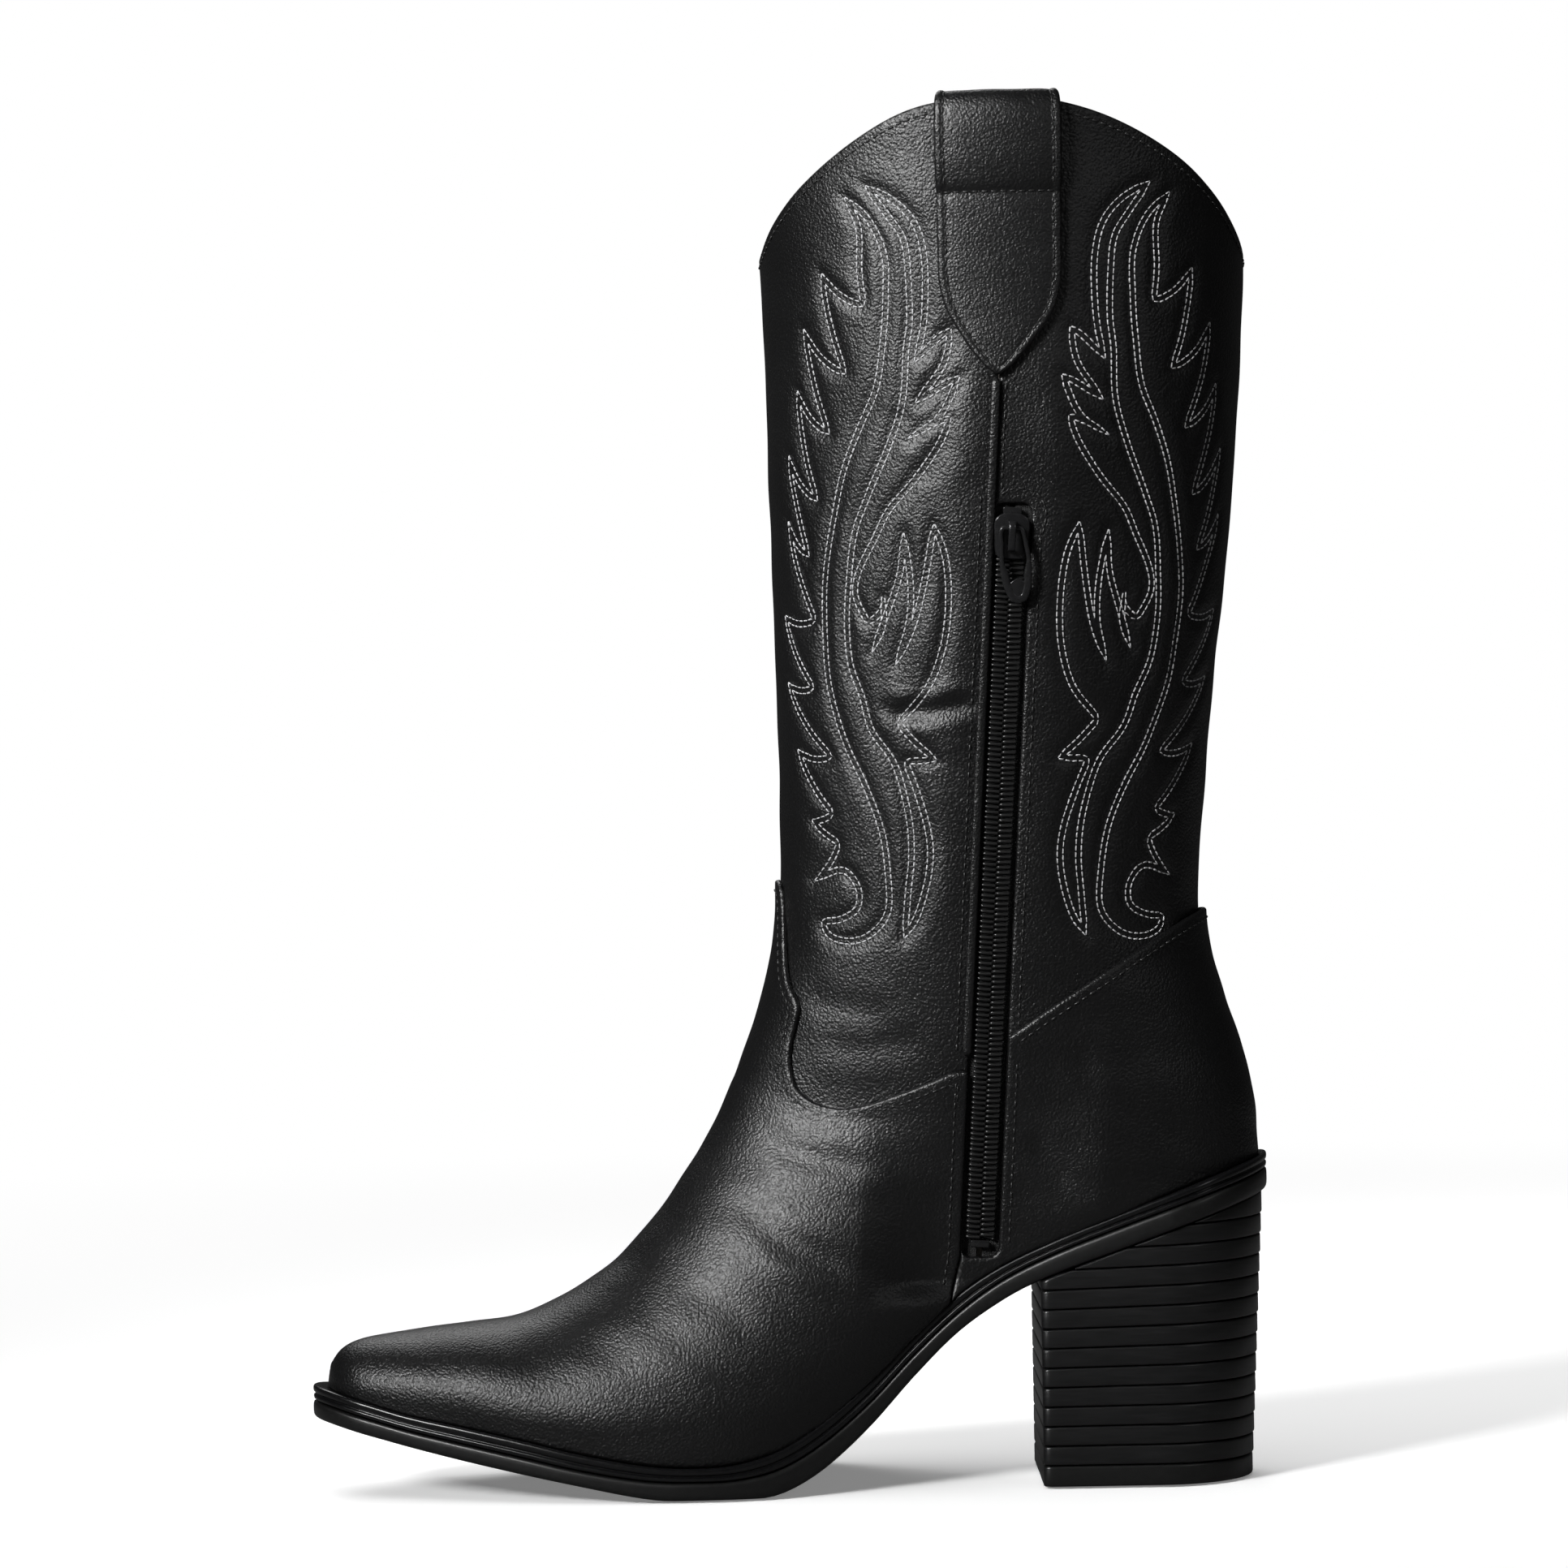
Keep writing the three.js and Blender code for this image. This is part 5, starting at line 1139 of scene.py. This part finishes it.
def strap_grid(side):
    """Middle surface of the strap (rows along the path, columns across), its face, and each column's distance
    from the edge."""
    # Only the side panel of the strap narrows to the shield; the inside end keeps its full width.
    inside_end = np.arange(len(path)) > top
    left = np.where(inside_end, -STRAP_HALF, along(SHIELD_LEFT, height))
    right = np.where(inside_end, STRAP_HALF, along(SHIELD_RIGHT, height))
    columns = []
    for l, r in zip(left, right):
        near = COLUMNS_IN * min(1.0, (r - l) / 8.0)
        low, high = l + near, r - near[::-1]
        columns.append(np.concatenate([low, np.linspace(low[-1], high[0], 16)[1:-1], high]))
    columns = np.array(columns)
    edge_gap = np.minimum(columns - left[:, None], right[:, None] - columns)
    z = np.repeat(height[:, None], columns.shape[1], 1)
    p, n, _ = on_surface(STRAP_X + columns.ravel(), z.ravel(), side)
    n = n.reshape(*columns.shape, 3)
    middle = p.reshape(*columns.shape, 3) + n * path[:, 1][:, None, None]
    face = unit(np.cross(unit(np.gradient(middle, axis=1)), unit(np.gradient(middle, axis=0))))
    face *= np.sign((face[:1] * n[:1]).sum(-1, keepdims=True)).mean()
    return middle, face, edge_gap


for name, side in (("pull_strap_medial", MEDIAL), ("pull_strap_lateral", LATERAL)):
    middle, face, edge_gap = strap_grid(side)
    run = totals(gaps(path))
    ends = cap(np.minimum(run, run[-1] - run) / 0.9 + 0.06)
    flatness = np.minimum(cap((edge_gap + 0.04) / 0.85), ends[:, None])
    # A pressed band along the edges, and the row of stitches sunk just inside it.
    band = 0.16 * np.exp(-((edge_gap - 1.2) / 0.8) ** 2) - 0.22 * np.exp(-((edge_gap - 2.5) / 0.45) ** 2)
    band = band + 0.07 * undulation(middle.reshape(-1, 3), 9).reshape(band.shape)
    outer = middle + face * (STRAP_THICK / 2 * flatness + band)[..., None]
    inner = middle - face * (STRAP_THICK / 2 * flatness)[..., None]
    loop = tube(np.concatenate([outer, inner[:, ::-1]], axis=1))
    piece(name + "_loop", loop, TRIM, "upper_leather", [name])
    # Stitches: both edges from the seam down round the shield, the edges of the loop, and across the seam.
    for column in (6, -7):
        for low, high in ((304.5, 351.0), (353.2, 379.0)):
            rows = np.flatnonzero((height > low) & (height < high) & going_up)
            black.row(outer[rows, column] + face[rows, column] * 0.12, face[rows, column])
    row = np.argmin(np.abs(height - SEAM_Z) + 1e3 * (np.arange(len(path)) > top))
    black.row(outer[row, 5:-5] + face[row, 5:-5] * 0.1, face[row, 5:-5])

# ---- sole
SOLE_STEPS = 150
sole_share = (1 - np.cos(np.pi * np.arange(SOLE_STEPS + 1) / SOLE_STEPS)) / 2


def plan_body(profile, bottom, top, closed=False):
    """A body round the sole's outline from steps of inset, share of the height from bottom to top, and rise."""
    rings = []
    for inset, share, *rise in profile:
        toe, heel = plan_ends(inset)
        x = toe + (heel - toe) * sole_share
        half, centre = np.maximum(plan_half(x, inset), 0), along(SOLE_CENTRE, x)
        y = np.concatenate([centre - half, (centre + half)[-2:0:-1]])
        x = np.concatenate([x, x[-2:0:-1]])
        rings.append(table(x, y, bottom(x) + share * (top(x) - bottom(x)) + sum(rise)))
    return tube(rings, closed, mirror=1)


def welt_top(x):
    return along(WELT_TOP, x)


def outsole_top(x):
    return along(OUTSOLE_TOP, x)


WELT_PROFILE = [
    (13, 0), (6, 0), (1.1, 0), (0.5, 0.02), (0.2, 0.07), (0.08, 0.14), (0.06, 0.24), (0.15, 0.31), (0.5, 0.36),
    (0.72, 0.42), (0.5, 0.48), (0.14, 0.53), (0.0, 0.60), (-0.05, 0.72), (0.0, 0.84), (0.14, 0.92),
    (0.42, 0.98), (0.9, 1), (1.6, 1, 0.02), (2.4, 1, -0.05), (3.2, 1, -0.15), (8, 1, -0.2), (13, 1, -0.2)]
OUTSOLE_PROFILE = [
    (16, 0), (8, 0), (3.2, 0), (2.9, 0, 0.25), (2.3, 0, 0.25), (2.0, 0), (1.1, 0), (0.55, 0.03), (0.2, 0.10),
    (0.02, 0.2), (-0.05, 0.35), (-0.05, 0.6), (0.0, 0.8), (0.15, 0.91), (0.5, 0.98), (1.1, 1), (6, 1), (13, 1)]
INSOLE_THICK, SOCK_THICK, INSOLE_INSET = 2.2, 1.2, 10.4
SOCK_UP = GAP + INSOLE_THICK + 1.3
SOCK_PROFILE = [
    (inset, 0, SOCK_UP + rise) for inset, rise in (
        (20, 0), (INSOLE_INSET + 0.8, 0), (INSOLE_INSET + 0.4, 0.3), (INSOLE_INSET + 0.4, 0.8),
        (INSOLE_INSET + 0.8, SOCK_THICK), (20, SOCK_THICK))]
welt = plan_body(WELT_PROFILE, lambda x: outsole_top(x) + GAP, welt_top, closed=True)
piece("welt_strip", welt, RUBBER, "sole_rubber", ["welt"])
outsole = plan_body(OUTSOLE_PROFILE, tread_height, outsole_top)
piece("outsole_unit", outsole, TREAD_RUBBER, "sole_rubber", ["outsole"])
sock = plan_body(SOCK_PROFILE, welt_top, welt_top)
piece("sock_lining_pad", sock, LINING_CLOTH, "lining_cloth", ["sock_lining"])

# ---- heel
HEEL_BREAST_X, HEEL_BACK_X, HEEL_FLARE = -29, 30.6, 0.052
HEEL_HALF, HEEL_SIDE_FLARE, HEEL_ROUND_START, HEEL_CORNER_ROUND = 27.4, 0.034, 4, 2.0
TOP_PIECE, LIFT_FRONT, LIFT_BACK, LIFTS = 6, 5.35, 5.53, 13


def lift_line(i):
    front, back = TOP_PIECE + LIFT_FRONT * i, TOP_PIECE + LIFT_BACK * i
    return lambda x: front + (back - front) * (x - HEEL_BREAST_X) / (HEEL_BACK_X - HEEL_BREAST_X)


def lift_body(low, high, start, bevel):
    """A D-shaped heel slice between two heights, its edges rounded by bevel, from x = start back."""
    height = float(low(0.0))
    rings = []
    for inset, share in ((4, 0), (1, 0), (0.45, 0.13), (0.12, 0.42), (0, 1),
                         (0, -1), (0.12, -0.42), (0.45, -0.13), (1, 0), (4, 0)):
        inset = bevel * inset
        half = HEEL_HALF + HEEL_SIDE_FLARE * height - inset
        back, front = HEEL_BACK_X + HEEL_FLARE * height - inset, HEEL_BREAST_X + inset
        straight = np.concatenate([[0, 0.12, 0.4, 0.9, 1.5, 2.2], np.linspace(4, HEEL_ROUND_START - front, 8)])
        turn = np.sin(np.linspace(0, math.pi / 2, 30))[1:]
        x = np.concatenate([front + straight, HEEL_ROUND_START + (back - HEEL_ROUND_START) * turn])
        if start is not None:
            x = start + inset + (x - front) * (back - start - inset) / (back - front)
        tight = half - HEEL_CORNER_ROUND * (1 - cap((x - front) / HEEL_CORNER_ROUND))
        round_share = np.clip((x - HEEL_ROUND_START) / (back - HEEL_ROUND_START), 0, 1)
        y = np.where(x > HEEL_ROUND_START, half * np.sqrt(1 - round_share ** 2), tight)
        bottom, top = low(x), high(x)
        rise = np.minimum(bevel, np.maximum(top - bottom, 0.06) * 0.48) * abs(share)
        z = bottom + rise if len(rings) < 5 else top - rise
        rings.append(np.concatenate([table(x, -y, z), table(x, y, z)[-2::-1]]))
    return tube(rings, mirror=0)


top_piece = lift_body(lambda x: 0 * x, lambda x: lift_line(0)(x) - GAP, None, 0.7)
piece("heel_tip", top_piece, TREAD_RUBBER, "sole_rubber", ["heel_top_piece"])
for i in range(LIFTS):
    last = i == LIFTS - 1
    low, line = lift_line(i), lift_line(i + 2 if last else i + 1)

    def high(x, line=line, gap=0 if last else GAP):
        return np.minimum(line(x) - gap, tread_height(x) - GAP)

    xs = np.linspace(HEEL_BREAST_X, 34, 400)
    room = high(xs) - low(xs)
    start = None if room[0] > 0.3 else float(xs[np.argmax(room > 0.25)])
    name = f"heel_lift_{i + 1:02d}"
    piece(name + "_layer", lift_body(low, high, start, 0.55), STACK, "stacked_heel", [name])

# ---- zip
# In its own frame: x across it, y inwards, z up it.
ZIP_ORIGIN = np.array([ZIP_TOP[0], ZIP_TOP_Y, ZIP_TOP[1]])
ZIP_UP = ZIP_ORIGIN - [ZIP_BOTTOM[0], zip_y(ZIP_BOTTOM[1]), ZIP_BOTTOM[1]]
ZIP_UP = ZIP_UP / np.linalg.norm(ZIP_UP)
ZIP_ACROSS = unit(np.array([1.0, 0, 0]) - ZIP_UP * ZIP_UP[0])
ZIP_INWARD = np.cross(ZIP_UP, ZIP_ACROSS)
COIL_PITCH, COIL_WIRE = 1.43, 0.45
COIL_OUTER, COIL_REACH = 4.1, 0.15


def down_zip(z):
    return (z - ZIP_TOP[1]) / ZIP_UP[2]


def from_zip(shape):
    p, tris = shape
    return ZIP_ORIGIN + p[:, :1] * ZIP_ACROSS + p[:, 1:2] * ZIP_INWARD + p[:, 2:] * ZIP_UP, tris


def standing(flat, y=0.0):
    """Flat (x, z) points, stood up at a depth."""
    return table(flat[:, 0], np.full(len(flat), y), flat[:, 1])


def both_halves(half):
    return np.concatenate([half, half[-2:0:-1] * [-1, 1]])


def coil(side, phase):
    """One side's continuous coil: a flattened spring whose loops reach just past the middle."""
    z0, z1 = down_zip(CHAIN_BOTTOM_Z), down_zip(CHAIN_TOP_Z)
    turns = (z1 - z0) / COIL_PITCH
    a = np.linspace(0, turns, int(turns * 16) + 1)
    angle = 2 * math.pi * (a + phase)
    c, s = np.cos(angle), np.sin(angle)
    mid, half = (COIL_OUTER - COIL_REACH) / 2, (COIL_OUTER + COIL_REACH) / 2 - COIL_WIRE
    path = table(side * (mid - half * rounder(c, 0.55)), 0.35 - (0.85 - COIL_WIRE) * rounder(s, 0.7),
                 z0 + a * COIL_PITCH + 0.22 * c)
    t = tangents(path)
    width = unit(np.array([0.0, 0.0, 1.0]) - t * t[:, 2:])
    head = 1 + 0.16 * np.clip(c, 0, 1) ** 3
    return swept(path, width, np.cross(t, width), ellipse(COIL_WIRE, COIL_WIRE, 7), head)


def plate(outline, y0, y1, bevel):
    """A rounded plate from an (x, z) outline, standing between two depths."""
    t = tangents(outline, closed=True)
    ahead = np.roll(outline, -1, 0)
    area = np.sum(outline[:, 0] * ahead[:, 1] - outline[:, 1] * ahead[:, 0])
    inward = table(-t[:, 1], t[:, 0]) * (1 if area > 0 else -1)
    steps = ((y0, 1.0, 0), (y0, 0.3, 0.3), (y0, 0, 1), (y1, 0, -1), (y1, 0.3, -0.3), (y1, 1.0, 0))
    return tube([standing(outline + inward * bevel * inset, y + bevel * depth) for y, inset, depth in steps])


for name, side, phase in (("front", -1, 0.0), ("back", 1, 0.5)):
    piece(f"zip_coil_{name}_teeth", from_zip(coil(side, phase)), COIL_NYLON, "zip_coil", [f"zip_coil_{name}"])

SLIDER_Z, SLIDER_LENGTH = 259.8, 12.4
PULL_AXIS_OUT, PULL_AXIS_UP, PULL_THICK, PULL_ASKEW, PULL_WIRE = 3.15, 2.2, 1.2, 8, 0.62
slider_z = down_zip(SLIDER_Z)
half = SLIDER_LENGTH / 2
# The top plate is broad over the shoulders, where the two sides part, and narrower where they leave joined.
shoulders = both_halves(spline([
    (0, half), (2.6, half - 0.25), (4.35, half - 1.5), (4.8, half - 3.4), (4.55, 0), (4.15, -3.4),
    (3.8, -half + 1.0), (3.0, -half + 0.15), (0, -half)], 6))
parts = [plate(shoulders, -1.95, -0.9, 0.38), plate(shoulders * [0.93, 0.98], 3.4, 4.2, 0.25),
         plate(rounded(-0.4, 0.4, 1.0, half - 0.6, 0.3, 4), -1.0, 3.6, 0.1)]
for side in (-1, 1):
    wall = spline(np.array([(4.72, half - 2.6), (4.45, 0.0), (4.1, -3.4), (3.75, -half + 0.9)]) * [side, 1], 6)
    path, inward = standing(wall, -0.2), np.tile([0, 1.0, 0], (len(wall), 1))
    parts.append(swept(path, unit(np.cross(tangents(path), inward)), inward, ellipse(0.34, 0.85, 10, 0.6)))
bridge = spline([(-3.8, 1.5), (-3.85, 3.2), (-3.5, 4.3), (-2.4, 4.85), (0, 4.95), (2.4, 4.85), (3.5, 4.3),
                 (3.85, 3.2), (3.8, 1.5)], 8)
path, across = table(np.zeros(len(bridge)), -bridge[:, 1], bridge[:, 0]), np.tile([1.0, 0, 0], (len(bridge), 1))
parts.append(swept(path, across, np.cross(tangents(path), across), ellipse(1.0, 0.42, 14, 0.7)))
slider = joined([(p + [0, 0, slider_z], tris) for p, tris in parts])
piece("zip_slider_body", from_zip(slider), ENAMEL, "zip_metal", ["zip_slider"], "slider", 50)

# The pull: a pear-shaped ring hanging from a round crossbar that passes under the bridge.
pear = both_halves(spline([
    (0, 0.05), (2.2, 0.0), (3.0, -1.2), (3.25, -4.2), (3.6, -7.6), (3.7, -11.2), (3.2, -15.4), (1.9, -18.8),
    (0, -19.9)], 9))
path = standing(pear)
outward = np.tile([0, -1.0, 0], (len(path), 1))
across = np.cross(tangents(path, closed=True), outward)
# The ring widens inwards into a solid tongue towards its lower end.
reach = PULL_WIRE + 0.5 * smooth(np.clip((-pear[:, 1] - 8) / 5, 0, 1))[:, None]
inner_side = -np.sign((across * (path + [0, 0, 10.5])).sum(1))[:, None] * across
section = ellipse(1, PULL_THICK / 2, 12, 0.7)
rings = ((path + inner_side * (reach - PULL_WIRE))[:, None] + section[:, :1] * (across * reach)[:, None]
         + section[:, 1:] * outward[:, None])
tongue = both_halves(spline([
    (0, -13.6), (1.4, -14.2), (2.4, -15.4), (2.0, -17.2), (1.1, -18.6), (0, -19.3)], 6))
points, tris = joined([tube(rings, True), plate(tongue, -0.42, 0.42, 0.2)])
x, y, z = points.T
lean = math.radians(PULL_ASKEW) * smooth(-z / 4)
points = table(x * np.cos(lean) - z * np.sin(lean), y - PULL_AXIS_OUT,
               x * np.sin(lean) + z * np.cos(lean) + slider_z + PULL_AXIS_UP)
piece("zip_pull_ring", from_zip((points, tris)), ENAMEL, "zip_metal", ["zip_pull"], "pull", 60)

for name, height in (("zip_top_stop", CHAIN_TOP_Z + 1.6), ("zip_bottom_stop", CHAIN_BOTTOM_Z - 1.5)):
    z = down_zip(height)
    clamp = joined([plate(rounded(-2.6, 2.6, z - 1, z + 1, 0.5), -0.5, 0.25, 0.25),
                    plate(rounded(-2.3, 2.3, z - 0.75, z + 0.75, 0.4), 0.1, 1.2, 0.15)])
    piece(name + "_clamp", from_zip(clamp), ENAMEL, "zip_metal", [name], sharp=50)

# ---- threads and the hidden parts
piece("embroidery_threads", grey.mesh(), GREY_THREAD, "thread_grey")
piece("seam_threads", black.mesh(), BLACK_THREAD, "thread_black")
for node, material, slot_name in (("cork_filler", CORK, "cork"), ("steel_shank", STEEL, "steel"),
                                  ("insole_board", BOARD, "insole_board"), ("heel_screw", STEEL, "steel"),
                                  *((f"heel_nail_{i}", STEEL, "steel") for i in range(1, 5))):
    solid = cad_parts[node]
    solid.data.materials.clear()
    solid.data.materials.append(material)

# ---- camera, floor and light
FLOOR_LIT, FLOOR_GLOW, AMBIENT = 1.05, 0.2, 0.03
CAMERA_AWAY, VIEW_WIDTH, CAMERA_ROLL = 1.4, 0.438, -1.0
scene = bpy.context.scene
scene.view_settings.view_transform = "Standard"
scene.view_settings.look = "None"


def placed(name, data, where, turn):
    obj = bpy.data.objects.new(name, data)
    scene.collection.objects.link(obj)
    obj.location = where
    obj.rotation_mode = "QUATERNION"
    obj.rotation_quaternion = turn
    return obj


level_view = Matrix.Rotation(math.radians(90), 4, "X")
rolled_view = (level_view @ Matrix.Rotation(math.radians(CAMERA_ROLL), 4, "Z")).to_quaternion()
camera = placed("camera", bpy.data.cameras.new("camera"), (-0.0969, -CAMERA_AWAY, 0.1939), rolled_view)
camera.data.sensor_width = 36
camera.data.lens = 36 * CAMERA_AWAY / VIEW_WIDTH
camera.data.clip_start, camera.data.clip_end = 0.05, 30
scene.camera = camera

# The floor is pale paper to the camera, fading to white far off, and dull to everything else.
bpy.ops.mesh.primitive_plane_add(size=16, location=(0, 0, -0.0006))
floor = bpy.context.object
floor.name = "floor"
paper = bpy.data.materials.new("pale paper")
paper.use_nodes = True
tree = paper.node_tree
tree.nodes.clear()
WHITE = (1, 1, 1, 1)
lit = add(tree, "BsdfDiffuse", {"Color": (FLOOR_LIT, FLOOR_LIT, FLOOR_LIT, 1)})
glow = add(tree, "Emission", {"Color": WHITE, "Strength": FLOOR_GLOW})
near_floor = add(tree, "AddShader", {0: lit.outputs[0], 1: glow.outputs[0]})
far_floor = add(tree, "Emission", {"Color": WHITE})
distance = add(tree, "VectorMath", {0: add(tree, "TexCoord").outputs["Object"]}, operation="LENGTH")
fade = add(tree, "MapRange", {"Value": distance.outputs["Value"], "From Min": 0.55, "From Max": 1.3},
           interpolation_type="SMOOTHSTEP")
seen = add(tree, "MixShader", {0: fade.outputs["Result"], 1: near_floor.outputs[0], 2: far_floor.outputs[0]})
dull = add(tree, "BsdfDiffuse", {"Color": (0.15, 0.15, 0.15, 1)})
by_camera = add(tree, "LightPath").outputs["Is Camera Ray"]
choice = add(tree, "MixShader", {0: by_camera, 1: dull.outputs[0], 2: seen.outputs[0]})
add(tree, "OutputMaterial", {"Surface": choice.outputs[0]})
floor.data.materials.append(paper)

# White behind the boot for the camera, and only a little light from all round for everything else.
world = bpy.data.worlds.new("studio")
scene.world = world
world.use_nodes = True
tree = world.node_tree
by_camera = add(tree, "LightPath").outputs["Is Camera Ray"]
feed(tree, tree.nodes["Background"], {"Color": WHITE, "Strength": number_of(tree, by_camera, AMBIENT, 1.0)})


def panel_light(name, where, aim, power, width, height):
    light = bpy.data.lights.new(name, "AREA")
    light.shape = "RECTANGLE"
    light.size, light.size_y = width, height
    light.energy = power
    return placed(name, light, where, (Vector(aim) - Vector(where)).to_track_quat("-Z", "Y"))


key = panel_light("key", (-0.9, -0.95, 0.85), (-0.05, 0, 0.29), 1.8, 0.4, 0.6)
key.data.spread = math.radians(34)
panel_light("fill", (1.1, -1.3, 0.9), (-0.02, 0, 0.2), 1.6, 0.3, 0.6)
panel_light("back", (-0.5, 1.3, 1.4), (-0.08, 0, 0.1), 8, 1.0, 0.8)
overhead = panel_light("overhead", (-0.4, 0.1, 1.7), (-0.1, 0, 0.0), 20, 2.0, 2.0)
overhead.visible_glossy = False  # it only lights the floor and softens the shadow
